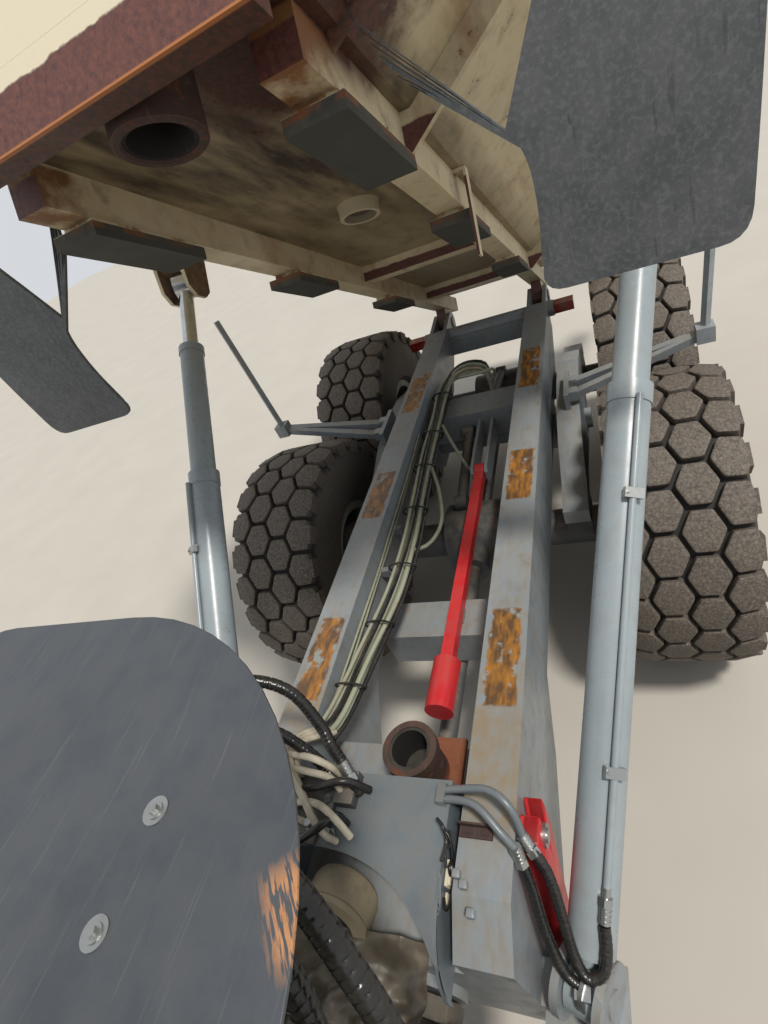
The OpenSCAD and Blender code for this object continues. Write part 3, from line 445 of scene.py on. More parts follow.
# %% Finish of every CAD node
finishes = {
    "rear_frame": frame_enamel, "rear_axles": axle_enamel, "rear_driveline": axle_enamel,
    "balance_beams": frame_enamel, "mudguard_arms": frame_enamel, "exhaust_outlet": rusty_iron,
    "valve_cover": cover_enamel, "rail_hoses": pale_hose, "steering_lock_bar": red_enamel,
    "tail_lamps": red_lens, "body_prop": red_enamel, "bed_tub": bed_enamel,
    "bed_beams": bed_enamel, "bed_pads": pad_rubber, "bed_flaps": flap_rubber,
    "hitch_yoke": hitch_iron, "front_frame": frame_enamel, "front_axle": axle_enamel,
    "engine": engine_iron, "hood": cab_enamel, "grille": trim_plastic, "cab_shell": cab_enamel,
    "cab_glass": cab_pane, "cab_door": cab_enamel, "door_glass": cab_pane,
    "cab_interior": seat_vinyl, "fenders": trim_plastic, "steps_and_rails": axle_enamel,
    "side_tanks": axle_enamel, "bumper": axle_enamel, "head_lamps": clear_lens,
    "mirrors": trim_plastic, "cover_plate": plate_enamel,
}
for side, sign in SIDES:
    finishes["hoist_barrel_" + side] = finishes["hoist_stage_" + side] = hoist_enamel
    finishes["hoist_rod_" + side] = finishes["steering_rod_" + side] = hard_chrome
    finishes["steering_barrel_" + side] = axle_enamel
    for place, x in AXLES:
        finishes[f"tyre_{place}_{side}"] = tyre_rubber
        finishes[f"rim_{place}_{side}"] = rim_enamel
for name, finish in finishes.items():
    mesh = nodes[name].data
    mesh.materials.clear()
    mesh.materials.append(finish)
print("dressed:", len(finishes), "of", len(nodes))

# %% [markdown]
# ## Making a piece
# A new piece starts as a bmesh. It is closed, so its normals are set to point outwards, and then
# it becomes an object that sits at the origin and rides on a body of the CAD model.

# %% From bmesh to a piece
def make(name, bm, finish, body, crease=35):
    bmesh.ops.recalc_face_normals(bm, faces=bm.faces)
    mesh = bpy.data.meshes.new(name)
    bm.to_mesh(mesh)
    bm.free()
    mesh.materials.append(finish)
    mesh.shade_smooth()
    mesh.set_sharp_from_angle(angle=math.radians(crease))
    piece = bpy.data.objects.new(name, mesh)
    bpy.context.scene.collection.objects.link(piece)
    if isinstance(body, str):
        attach(piece, body)
    else:
        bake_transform(piece)
    return piece


def soften(bm, width, segments=2, angle=30):
    sharp = [e for e in bm.edges if len(e.link_faces) == 2
             and e.calc_face_angle(0) > math.radians(angle)]
    bmesh.ops.bevel(bm, geom=sharp, offset=width, segments=segments, profile=0.5,
                    affect="EDGES", material=-1, clamp_overlap=True)


def pull(bm, faces, vec):
    grown = bmesh.ops.extrude_face_region(bm, geom=faces)["geom"]
    bmesh.ops.translate(bm, verts=[g for g in grown if isinstance(g, bmesh.types.BMVert)], vec=vec)


def along(direction):
    return Vector(direction).to_track_quat("Z", "Y").to_matrix().to_4x4()


def disc(bm, at, direction, radius, height, sides=24, top=None):
    place = Matrix.Translation(Vector(at)) @ along(direction)
    shift = Matrix.Translation((0, 0, height / 2))
    return bmesh.ops.create_cone(bm, cap_ends=True, cap_tris=False, segments=sides,
                                 radius1=radius, radius2=radius if top is None else top,
                                 depth=height, matrix=place @ shift)["verts"]


def slab(bm, centre, size, turn=None):
    place = Matrix.Translation(Vector(centre)) @ (turn or Matrix()) @ Matrix.Diagonal(
        (size[0], size[1], size[2], 1))
    return bmesh.ops.create_cube(bm, size=1, matrix=place)["verts"]


def bolt(bm, at, direction, size):
    disc(bm, at, direction, size * 1.05, size * 0.18, 20)
    disc(bm, Vector(at) + Vector(direction).normalized() * size * 0.18, direction,
         size * 0.62, size * 0.5, 6)


# %% [markdown]
# ## Tyres
# A hauler's tyre is a wide carcass with deep hexagonal lugs in staggered rows, so that it grips
# in mud and clears itself. The carcass is a profile spun round the axle. Each lug is a hexagon
# pulled up, its edges rounded, and then bent to the tread by turning its length into an angle.

# %% Spinning a closed outline
def turned(bm, outline, place, steps=72):
    ring = [bm.verts.new((r, 0, w)) for r, w in outline]
    edges = [bm.edges.new((ring[i - 1], ring[i])) for i in range(len(ring))]
    bmesh.ops.spin(bm, geom=ring + edges, cent=(0, 0, 0), axis=(0, 0, 1), dvec=(0, 0, 0),
                   angle=math.tau, steps=steps)
    bmesh.ops.remove_doubles(bm, verts=bm.verts[:], dist=0.0002)
    bmesh.ops.transform(bm, matrix=place, verts=bm.verts[:])


# %% Lugged tyres
TYRE_R, TYRE_W, GROOVE_R = 0.810, 0.595, 0.768
LUG_FOOT_R = GROOVE_R - 0.012
ROWS = [(-0.226, 0.5), (-0.076, 0.0), (0.076, 0.5), (0.226, 0.0)]
LUGS, LUG_AROUND, LUG_ACROSS = 24, 0.228, 0.186
SHOULDER, SHOULDER_SLOPE = 0.20, 0.30


def tyre(name, node, centre, body, flip):
    carcass = bmesh.new()
    outline = [(0.351, 0.236), (0.384, 0.276), (0.440, 0.290), (0.560, 0.296), (0.690, 0.290),
               (0.738, 0.272), (0.760, 0.235), (0.768, 0.150), (0.770, 0.0)]
    outline += [(r, -w) for r, w in reversed(outline[:-1])]
    turned(carcass, outline, Matrix.Rotation(math.pi / 2, 4, "X"))
    shell = bpy.data.meshes.new("carcass")
    carcass.to_mesh(shell)
    carcass.free()
    bm = bmesh.new()
    bm.from_mesh(shell)
    bpy.data.meshes.remove(shell)
    lug = bmesh.new()
    bmesh.ops.create_circle(lug, cap_ends=True, segments=6, radius=0.5)
    pull(lug, lug.faces[:], (0, 0, 1))
    bmesh.ops.recalc_face_normals(lug, faces=lug.faces)
    soften(lug, 0.055, 2)
    lug_mesh = bpy.data.meshes.new("lug")
    lug.to_mesh(lug_mesh)
    lug.free()
    pitch = math.tau / LUGS
    for across, stagger in ROWS:
        for i in range(LUGS):
            before = len(bm.verts)
            bm.from_mesh(lug_mesh)
            bm.verts.ensure_lookup_table()
            for v in bm.verts[before:]:
                size = 1 - 0.07 * v.co.z
                w = across + v.co.y * size * LUG_ACROSS
                w = max(-TYRE_W / 2 + 0.006, min(TYRE_W / 2 - 0.006, w))
                edge = max(0.0, abs(w) - SHOULDER)
                radius = LUG_FOOT_R + (TYRE_R - LUG_FOOT_R) * v.co.z - SHOULDER_SLOPE * edge
                a = (i + stagger) * pitch + v.co.x * size * LUG_AROUND / TYRE_R
                v.co = Vector((radius * math.sin(a), w * flip, radius * math.cos(a)))
    # Bars that carry the tread down both shoulders
    for sign in (-1, 1):
        for i in range(LUGS):
            a = (i + (0.0 if sign * flip > 0 else 0.5)) * pitch
            turn = Matrix.Rotation(a, 4, "Y")
            slab(bm, turn @ Vector((0, sign * 0.2885, 0.735)), (0.110, 0.015, 0.095), turn)
    tread = [(Vector((v.co.x, v.co.z)).length, abs(v.co.y)) for v in bm.verts]
    bmesh.ops.translate(bm, verts=bm.verts[:], vec=centre)
    bpy.data.meshes.remove(lug_mesh)
    piece = make(name, bm, tyre_rubber, body, 28)
    height = piece.data.attributes.new("tread", "FLOAT", "POINT")
    for i, (radius, aside) in enumerate(tread):
        top = radius + SHOULDER_SLOPE * max(0.0, aside - SHOULDER) - GROOVE_R
        top /= TYRE_R - GROOVE_R
        height.data[i].value = min(1, max(0, top)) if radius > 0.735 else 0.45
    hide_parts(node)
    return piece


for place, x in AXLES:
    for side, sign in SIDES:
        piece = tyre(f"lugged_tyre_{place}_{side}", f"tyre_{place}_{side}",
                     truck(x, sign * 1120, 810), f"wheel_{place}_{side}", sign)
print("tyre faces:", len(piece.data.polygons))

# %% [markdown]
# ## Wheel nuts and hub covers
# The rims stay as in CAD. Each gets its ring of wheel nuts and a raised hub cover with a plug.

# %% Nuts and hubs
for place, x in AXLES:
    for side, sign in SIDES:
        bm = bmesh.new()
        out = Vector((0, sign, 0))
        centre = truck(x, sign * 1120, 810)
        for i in range(12):
            a = i * math.tau / 12
            at = centre + Vector((0.185 * math.cos(a), sign * 0.026, 0.185 * math.sin(a)))
            bolt(bm, at, out, 0.026)
        disc(bm, centre + out * 0.118, out, 0.118, 0.030, 32, 0.095)
        disc(bm, centre + out * 0.146, out, 0.026, 0.016, 6)
        for i in range(6):
            a = (i + 0.5) * math.tau / 6
            bolt(bm, centre + Vector((0.135 * math.cos(a), sign * 0.118, 0.135 * math.sin(a))),
                 out, 0.012)
        make(f"wheel_nuts_{place}_{side}", bm, rim_enamel, f"wheel_{place}_{side}")


# %% [markdown]
# ## The exhaust
# The engine's exhaust leaves through a round outlet on the frame. With the bed down it meets a
# duct in the header and warms the load. Both are scaled iron outside and sooty black inside, and
# the black disc that closes each one is a painted shade for the pipe going on beyond it.

# %% Duct and outlet
bm = bmesh.new()
turned(bm, [(0.1085, 0.096), (0.1085, 0.236), (0.084, 0.236), (0.084, 0.096), (0.090, 0.090),
            (0.103, 0.090)], bed_axes @ Matrix.Translation((3.920, 0.100, 0)), 48)
make("duct_ring", bm, rusty_iron, "bed")
# black liner is soot; its closed end is a painted shade where the duct goes on into the header
bm = bmesh.new()
turned(bm, [(0.0832, 0.098), (0.0832, 0.232), (0.001, 0.232), (0.001, 0.222), (0.076, 0.222),
            (0.076, 0.098)], bed_axes @ Matrix.Translation((3.920, 0.100, 0)), 48)
make("duct_soot_and_shade", bm, soot_and_shade_black, "bed")
# black liner is soot; its floor is a painted shade where the pipe goes on down
bm = bmesh.new()
turned(bm, [(0.0795, 1.268), (0.0795, 1.449), (0.068, 1.449), (0.068, 1.300), (0.001, 1.296),
            (0.001, 1.268)], Matrix.Translation(truck(1730, 100, 0)), 48)
make("outlet_soot_and_shade", bm, soot_and_shade_black, "rear_frame")

# %% [markdown]
# ## Rubber flaps
# Each flap is a sheet with a rounded inner edge and rounded lower corners. Its outline is filled,
# sliced across and pulled to its thickness, and the slices let the loose end wave a little.

# %% Flaps and their straps
INNER = [(0.524, 3.366), (0.586, 3.235), (0.647, 3.174), (0.725, 3.115), (0.790, 3.050),
         (0.822, 2.975), (0.826, 2.880), (0.817, 2.780)]


def flap(side, sign):
    bm = bmesh.new()
    edge = smooth([(0, y, z) for y, z in INNER], 0.03)
    outline = [(q.y, q.z) for q in edge]
    for a, b, c in (((0.805, 2.705), (0.797, 2.643), (0.860, 2.642)),
                    ((1.215, 2.634), (1.283, 2.632), (1.286, 2.710))):
        for t in (0.0, 0.2, 0.4, 0.6, 0.8, 1.0):
            outline.append(tuple((1 - t) ** 2 * a[i] + 2 * t * (1 - t) * b[i] + t * t * c[i]
                                 for i in (0, 1)))
    outline += [(1.298, 3.080), (1.299, 4.020)]
    ring = [bm.verts.new((0.985 + SHIFT, y * sign, z)) for y, z in outline]
    bmesh.ops.contextual_create(bm, geom=ring)
    for i in range(9):
        bmesh.ops.bisect_plane(bm, geom=bm.verts[:] + bm.edges[:] + bm.faces[:],
                               plane_co=(0, 0, 2.70 + 0.08 * i), plane_no=(0, 0, 1))
    pull(bm, bm.faces[:], (0.013, 0, 0))
    for v in bm.verts:
        low = max(0.0, 3.34 - v.co.z)
        v.co.x += 0.022 * low * math.sin(5.5 * v.co.z + 2.5 * v.co.y)
    piece = make("flap_" + side, bm, flap_rubber, "bed")
    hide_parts("bed_flaps")
    bm = bmesh.new()
    lean = Matrix.Rotation(sign * math.atan2(0.063, 0.123), 4, "X")
    slab(bm, truck(1006, 478 * sign, 3360), (0.008, 0.240, 0.058), lean)
    soften(bm, 0.002)
    for step in (-0.065, 0.0, 0.070):
        at = truck(1010, 478 * sign, 3360) + lean @ Vector((0, step, 0))
        bolt(bm, at, (1, 0, 0), 0.011)
    make("flap_strap_" + side, bm, bed_enamel, "bed")


# %% [markdown]
# ## Hoses and pipes
# A hose is a circle carried along a smooth path. The path is a curve through a few measured
# points, and the circle keeps its own turn from one step to the next, so the hose doesn't twist.
# A spiral guard is a strip of plastic wound round a hose: the same tube, with its radius raised
# by a wave that runs round and along at once.

# %% Smooth path and tube
def smooth(points, step):
    p = [Vector(q) for q in points]
    p = [2 * p[0] - p[1]] + p + [2 * p[-1] - p[-2]]
    path = []
    for i in range(1, len(p) - 2):
        count = max(2, round((p[i + 1] - p[i]).length / step))
        for k in range(count):
            t = k / count
            path.append(0.5 * (2 * p[i] + (p[i + 1] - p[i - 1]) * t
                               + (2 * p[i - 1] - 5 * p[i] + 4 * p[i + 1] - p[i + 2]) * t * t
                               + (3 * p[i] - p[i - 1] - 3 * p[i + 1] + p[i + 2]) * t ** 3))
    return path + [p[-2]]


def tube(bm, points, radius, sides=10, step=0.04, wrap=None):
    path = smooth(points, step)
    heading = (path[1] - path[0]).normalized()
    turn = heading.to_track_quat("Z", "Y")
    length, old = 0.0, Matrix.Translation(path[0]) @ turn.to_matrix().to_4x4()
    made = bmesh.ops.create_circle(bm, cap_ends=True, segments=sides, radius=radius,
                                   matrix=old)["verts"]
    edges = list({e for v in made for e in v.link_edges})
    for i in range(1, len(path)):
        ahead = (path[min(i + 1, len(path) - 1)] - path[i - 1]).normalized()
        turn = heading.rotation_difference(ahead) @ turn
        heading = ahead
        length += (path[i] - path[i - 1]).length
        new = Matrix.Translation(path[i]) @ turn.to_matrix().to_4x4()
        grown = bmesh.ops.extrude_edge_only(bm, edges=edges)["geom"]
        verts = [g for g in grown if isinstance(g, bmesh.types.BMVert)]
        edges = [g for g in grown if isinstance(g, bmesh.types.BMEdge)]
        back = old.inverted()
        for v in verts:
            local = back @ v.co
            r = radius
            if wrap:
                phase = length / wrap[0] - math.atan2(local.y, local.x) / math.tau
                r += wrap[1] if phase % 1 < 0.84 else 0
            v.co = new @ (Vector((local.x, local.y, 0)).normalized() * r)
        old = new
    bmesh.ops.contextual_create(bm, geom=edges)


# %% One hose
def hose(name, points, radius, finish, body, wrap=None, step=0.02, sides=12):
    bm = bmesh.new()
    tube(bm, points, radius, sides, step, wrap)
    piece = make(name, bm, finish, body, 60)


# %% Both flaps
for side, sign in SIDES:
    flap(side, sign)

# %% [markdown]
# ## The bundle on the right rail
# Brake, grease and cooling lines run from the rear cross-member to the valve block. They bow away
# from the rail in the middle, as long hoses do, and black ties hold them together.

# %% Rail bundle
BUNDLE = [(-1216, 62, 1200), (-1250, 40, 1325), (-1250, -80, 1365), (-1190, -190, 1362),
          (-950, -238, 1350), (-620, -232, 1345), (-190, -222, 1342), (200, -206, 1342),
          (560, -178, 1342), (930, -182, 1345), (1290, -240, 1350), (1570, -275, 1365),
          (1690, -292, 1400)]
LINES = [(-46, 0, 13, pale_hose), (-18, 8, 15, sand_hose), (12, 2, 13, pale_hose),
         (40, -4, 11, hose_rubber), (-34, 30, 12, sand_hose), (-4, 34, 14, pale_hose),
         (24, 28, 12, pale_hose), (8, 58, 10, hose_rubber), (-26, 54, 9, pale_hose)]
meshes = {}
for number, (aside, above, radius, finish) in enumerate(LINES):
    bm = meshes.setdefault(finish.name, (bmesh.new(), finish))[0]
    points = []
    for i, (x, y, z) in enumerate(BUNDLE):
        loose = 0 if i in (4, 6, 8, 10) else 10
        y_side, x_side = (aside, 0) if i > 3 else (0, -aside)
        points.append(truck(x + x_side, y + y_side + chance.uniform(-loose, loose),
                            z + above + chance.uniform(-loose, loose) * 0.5))
    tube(bm, points, radius / 1000)
for name, (bm, finish) in meshes.items():
    piece = make("rail_lines_" + name, bm, finish, "rear_frame")
    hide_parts("rail_hoses")

# %% Ties and clips of the bundle
bm = bmesh.new()
for x, y, z in [(-900, -236, 1375), (-420, -228, 1372), (-60, -216, 1372), (330, -196, 1372),
                (760, -180, 1372), (1120, -212, 1375), (1450, -262, 1385)]:
    ring = [truck(x + 8 * math.sin(a), y + 72 * math.cos(a), z + 46 * math.sin(a))
            for a in [i * math.tau / 12 for i in range(12)]]
    tube(bm, ring + [ring[0]], 0.005, 6, 0.02)
    slab(bm, truck(x, y + 74, z + 6), (0.012, 0.012, 0.020))
make("rail_line_ties", bm, hose_rubber, "rear_frame")

bm = bmesh.new()
for path in [[(-430, -322, 1395), (0, -318, 1380), (360, -322, 1372), (760, -318, 1368),
              (1060, -320, 1372), (1430, -322, 1380), (1640, -310, 1405)],
             [(-430, -322, 1365), (0, -320, 1352), (360, -318, 1345), (760, -322, 1340),
              (1060, -320, 1345), (1430, -320, 1352), (1640, -312, 1380)]]:
    tube(bm, route(path), 0.006)
make("clipped_pipes", bm, pale_hose, "rear_frame")
for number, path in enumerate([
        [(-80, -178, 1358), (120, -105, 1320), (340, -70, 1275), (520, -105, 1290),
         (640, -182, 1358)],
        [(-560, -190, 1350), (-420, -120, 1300), (-330, -60, 1210), (-300, -20, 1120)],
        [(-1155, -160, 1368), (-1090, 20, 1400), (-1150, 120, 1370), (-1216, 45, 1200)]]):
    hose(f"loose_line_{number}", route(path), 0.011, pale_hose, "rear_frame")

# %% [markdown]
# ## Wrapped hoses over the hitch
# Two thick hoses in black spiral guards hang from under the deck plate and go down to the front
# frame. Both ends are on the front unit, so they ride on it.

# %% Thick wrapped hoses
THICK = [[(2420, 170, 2632), (2385, 190, 2530), (2350, 225, 2400), (2345, 275, 2280),
          (2373, 318, 2200), (2428, 371, 2100), (2489, 426, 2000), (2600, 480, 1820),
          (2850, 490, 1600), (3080, 440, 1500), (3240, 400, 1440)],
         [(2420, 60, 2632), (2400, 110, 2500), (2395, 165, 2350), (2420, 215, 2220),
          (2467, 255, 2100), (2519, 276, 2000), (2640, 300, 1820), (2880, 320, 1600),
          (3080, 330, 1500), (3240, 330, 1440)]]
for number, path in enumerate(THICK):
    hose(f"wrapped_hose_{number}", route(path), 0.0270, hose_rubber,
         "front_frame", (0.024, 0.003), 0.004, 20)

# %% [markdown]
# Two slimmer hoses rise from the valve block, turn over under the deck plate and end on the nose
# of the rear frame.

# %% Slim wrapped hoses
SLIM = [[(1922, -18, 1508), (1895, -38, 1560), (1862, -62, 1610), (1835, -85, 1665),
         (1792, -116, 1725), (1745, -186, 1850), (1752, -300, 1930), (1830, -395, 1985),
         (2000, -430, 1990), (2170, -440, 1850), (2270, -410, 1600), (2300, -365, 1400),
         (2300, -335, 1285)],
        [(1915, -75, 1505), (1892, -112, 1540), (1866, -150, 1575), (1838, -215, 1640),
         (1830, -290, 1730), (1880, -380, 1800), (2040, -400, 1830), (2180, -400, 1700),
         (2240, -370, 1500), (2245, -340, 1290)]]
for number, path in enumerate(SLIM):
    hose(f"slim_hose_{number}", route(path), 0.0185, hose_rubber,
         "rear_frame", (0.015, 0.0025), 0.004, 16)

# %% [markdown]
# ## Fittings
# A hydraulic hose ends in a crimped sleeve, a hexagon nut and often an elbow, all zinc plated.

# %% Crimped fitting
def fitting(bm, at, direction, radius, length=0.06):
    d = Vector(direction).normalized()
    at = Vector(at)
    disc(bm, at, d, radius * 1.25, length * 0.55, 16)
    for i in range(3):
        disc(bm, at + d * length * (0.08 + 0.16 * i), d, radius * 1.36, length * 0.06, 16)
    disc(bm, at + d * length * 0.55, d, radius * 1.5, length * 0.28, 6)
    disc(bm, at + d * length * 0.83, d, radius * 0.95, length * 0.3, 16)


# %% Fittings at the valve block
bm = bmesh.new()
for (low, high), radius, length in ((((1862, -62, 1610), (1905, -30, 1545)), 0.017, 0.09),
                                    (((1866, -150, 1575), (1900, -100, 1525)), 0.016, 0.07)):
    fitting(bm, truck(*low), truck(*high) - truck(*low), radius, length)
for x, y in [(1880, -250), (1930, -210), (1990, -240), (2040, -170), (1960, -120), (2060, -90)]:
    disc(bm, truck(x, y, 1490), (0, 0, 1), 0.021, 0.022, 6)
    disc(bm, truck(x, y, 1510), (0, 0, 1), 0.013, 0.030, 12)
make("valve_fittings", bm, zinc_plate, "rear_frame")

# %% [markdown]
# The valve block sits in the right half of the cover's top: plain cast blocks with screws. Pale
# taped lines loop over its edge from the rail bundle.

# %% Valve blocks and taped lines
bm = bmesh.new()
slab(bm, truck(1950, -175, 1506), (0.180, 0.150, 0.036))
slab(bm, truck(1915, -60, 1513), (0.110, 0.070, 0.052))
slab(bm, truck(2060, -190, 1500), (0.070, 0.100, 0.024))
soften(bm, 0.004)
for x in (1880, 1950, 2020):
    for y in (-235, -115):
        bolt(bm, truck(x, y, 1523), (0, 0, 1), 0.009)
make("valve_block", bm, engine_iron, "rear_frame")

for i, path in enumerate([
        [(1655, -306, 1400), (1760, -350, 1490), (1850, -330, 1560), (1930, -255, 1552),
         (1990, -240, 1512)],
        [(1655, -304, 1415), (1750, -320, 1520), (1850, -290, 1590), (1960, -200, 1590),
         (2050, -120, 1560), (2060, -90, 1515)],
        [(1660, -310, 1380), (1780, -385, 1450), (1900, -370, 1540), (2010, -280, 1560),
         (2040, -170, 1514)],
        [(1660, -262, 1395), (1740, -300, 1500), (1810, -290, 1575), (1880, -265, 1560),
         (1880, -250, 1512)],
        [(1655, -308, 1430), (1770, -340, 1545), (1880, -280, 1620), (1990, -170, 1610),
         (2070, -90, 1560), (2075, -60, 1505)]]):
    hose(f"taped_line_{i}", route(path), 0.012 if i % 2 else 0.010, cream_tape,
         "rear_frame", (0.03, 0.0012), 0.02, 10)

# %% [markdown]
# The cover itself is bent sheet: flat on top, curved down at the front, with an arch cut out of
# the curve for the hitch. A grid follows the bend, each column ends at the arch, and the sheet is
# given its thickness.

# %% Bent cover with its arch
BACK_X, BEND_X, BEND_R, COVER_TOP = 1850, 2150, 229, 1489.5
ARCH_Y, ARCH_HALF, ARCH_DEPTH = -130, 430, 285


def on_cover(length):
    if length < BEND_X - BACK_X:
        return BACK_X + length, COVER_TOP
    a = (length - BEND_X + BACK_X) / BEND_R
    return BEND_X + BEND_R * math.sin(a), COVER_TOP - BEND_R + BEND_R * math.cos(a)


bm = bmesh.new()
columns = []
for i in range(61):
    y = -300 + 10 * i
    part = min(1.0, abs(y - ARCH_Y) / ARCH_HALF)
    edge = BEND_X + BEND_R - ARCH_DEPTH * math.sqrt(1 - part * part)
    length = edge - BACK_X
    if edge >= BEND_X:
        length = BEND_X - BACK_X + BEND_R * math.asin(min(1.0, (edge - BEND_X) / BEND_R))
    columns.append([bm.verts.new(truck(x, y, z))
                    for x, z in [on_cover(length * k / 30) for k in range(31)]])
for near, far in zip(columns, columns[1:]):
    for k in range(30):
        bmesh.ops.contextual_create(bm, geom=[near[k], near[k + 1], far[k + 1], far[k]])
bend = [on_cover(BEND_X - BACK_X + 20 * k) for k in range(18)] + [(2378, 1262)]
bmesh.ops.recalc_face_normals(bm, faces=bm.faces)
bmesh.ops.solidify(bm, geom=bm.faces[:], thickness=0.008)
for sign in (-1, 1):
    flat = [bm.verts.new(truck(x, 299 * sign, z))
            for x, z in [(BACK_X, COVER_TOP)] + bend + [(BACK_X, 1262)]]
    pull(bm, bmesh.ops.contextual_create(bm, geom=flat)["faces"], (0, -0.008 * sign, 0))
cover = make("bent_valve_cover", bm, cover_enamel, "rear_frame", 30)
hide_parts("valve_cover")

# %% Ring and canvas at the hitch
bm = bmesh.new()
turned(bm, [(0.082, -0.065), (0.112, -0.065), (0.118, -0.050), (0.118, 0.040), (0.126, 0.050),
            (0.126, 0.070), (0.082, 0.070)],
       Matrix.Translation(truck(2215, -95, 1320)) @ Matrix.Rotation(1.15, 4, "Y"), 48)
make("hitch_ring", bm, sand_hose, "rear_frame")
CANVAS = (0.34, 0.50)
bm = bmesh.new()
bmesh.ops.create_grid(bm, x_segments=60, y_segments=70, size=0.5)
for v in bm.verts:
    x, y = v.co.x * CANVAS[0], v.co.y * CANVAS[1]
    fold = noise.turbulence(Vector((x * 8, y * 6, 3.1)), 3, False)
    crease = abs(noise.noise(Vector((x * 12 + y * 7, y * 4, 0.4))))
    v.co = truck(2430, -20, 1262) + Vector((x, y, 0.050 * fold + 0.070 * crease - 0.30 * x))
stretch = math.sqrt(sum(f.calc_area() for f in bm.faces) / (CANVAS[0] * CANVAS[1]))
bmesh.ops.solidify(bm, geom=bm.faces[:], thickness=0.004)
canvas = make("hitch_canvas", bm, dirty_leather, "rear_frame", 50)

# %% Hoses into the valve block
for i, path in enumerate([
        [(1945, -255, 1508), (1955, -232, 1570), (1945, -123, 1600), (1922, -33, 1600),
         (1910, 18, 1512)],
        [(2080, -205, 1508), (2100, -165, 1560), (2068, -90, 1590), (2020, -51, 1575),
         (2023, -34, 1512)]]):
    hose(f"block_hose_{i}", route(path), 0.0135, hose_rubber, "rear_frame")
for i, path in enumerate([
        [(1848, -308, 1495), (1837, -323, 1560), (1867, -192, 1640), (1884, -106, 1630),
         (1878, -87, 1512)],
        [(1880, -296, 1505), (1887, -281, 1580), (1911, -165, 1620), (1917, -93, 1600),
         (1930, -79, 1512)],
        [(1985, -245, 1508), (1989, -216, 1560), (2002, -110, 1600), (2036, -39, 1580),
         (2059, -11, 1512)]]):
    hose(f"block_taped_hose_{i}", route(path), 0.0120, cream_tape, "rear_frame")

# %% [markdown]
# ## Lines to the hoists
# From the corner of the cover two bare pipes curve over the rail, go on as wrapped hoses, and end
# at an elbow on each hoist's foot. A hard pipe in two clamps then runs up the barrel.

# %% Hoist lines
PIPES = [[(1890, 262, 1512), (1888, 332, 1530), (1895, 440, 1562), (1935, 505, 1545),
          (1985, 530, 1465)],
         [(1917, 262, 1508), (1917, 314, 1522), (1937, 400, 1548), (1993, 473, 1520),
          (2022, 512, 1482)]]
SLEEVES = [[(1985, 530, 1465), (2045, 585, 1400), (2122, 608, 1290), (2190, 625, 1200),
            (2232, 655, 1165), (2215, 700, 1170), (2165, 716, 1200), (2115, 717, 1236)],
           [(2022, 512, 1482), (2079, 536, 1380), (2154, 552, 1250), (2225, 590, 1165),
            (2254, 640, 1140)]]
BENDS = [((2150, 600, 1200), (2150, 690, 1200)), ((2154, 552, 1250), (2250, 635, 1150))]
BARREL_R = 0.072
foot = Vector((2240, 640, 1050))
climb = Vector((-0.8005, 0.1797, 0.5718))
outward = Vector((0.587, 0.426, 0.688)).normalized()
for side, sign in SIDES:
    bm = bmesh.new()
    for path in PIPES:
        tube(bm, route(path, sign), 0.0125, 12, 0.02)
    make("hoist_pipes_" + side, bm, cover_enamel, "rear_frame")
    bm = bmesh.new()
    for path in SLEEVES:
        a, b = route(path[:2], sign)
        fitting(bm, a - (b - a).normalized() * 0.01, b - a, 0.0145, 0.075)
    slab(bm, truck(1902, 278 * sign, 1511), (0.060, 0.028, 0.044))
    make("hoist_fittings_" + side, bm, zinc_plate, "rear_frame")
    for number, path in enumerate(SLEEVES):
        hose(f"hoist_hose_{side}_{number}", route(path, sign), 0.0150, hose_rubber,
             ("rear_frame", "hoist_barrel_" + side, *route(BENDS[number], sign)),
             (0.011, 0.0018), 0.004, 14)
    bm = bmesh.new()
    off = BARREL_R * 1000 + 13
    up = [foot + climb * d + outward * off for d in (270, 400, 800, 1200, 1700, 1840)]
    tube(bm, route(up, sign), 0.0115, 12, 0.05)
    make("hoist_hard_pipe_" + side, bm, hoist_enamel, "hoist_barrel_" + side)
    bm = bmesh.new()
    heading = (route([climb], sign)[0] - truck(0, 0, 0)).normalized()
    low = route([foot + climb * 225 + outward * off], sign)[0]
    fitting(bm, low, heading, 0.0135, 0.085)
    elbow = route([(2254, 640, 1128)], sign)[0]
    slab(bm, elbow, (0.060, 0.045, 0.050))
    disc(bm, elbow - Vector((0, 0, 0.012)), (0.2963, 0.9479 * sign, 0.117), 0.052, 0.012, 24)
    for d in (640, 1500):
        at = route([foot + climb * d + outward * (off + 4)], sign)[0]
        out = Vector((outward.x, outward.y * sign, outward.z))
        square = Matrix((heading, out.cross(heading).normalized(), out)).transposed().to_4x4()
        slab(bm, at, (0.034, 0.062, 0.020), square)
        bolt(bm, at + out * 0.010 + out.cross(heading) * 0.022, out, 0.008)
    make("hoist_pipe_clamps_" + side, bm, zinc_plate, "hoist_barrel_" + side)

# %% [markdown]
# ## On the left rail
# The lock bar for the steering is a thick red plate with softened edges, held by two pins. Beside
# the cover are a terminal block with its wires, three small lugs and a brown bracket.

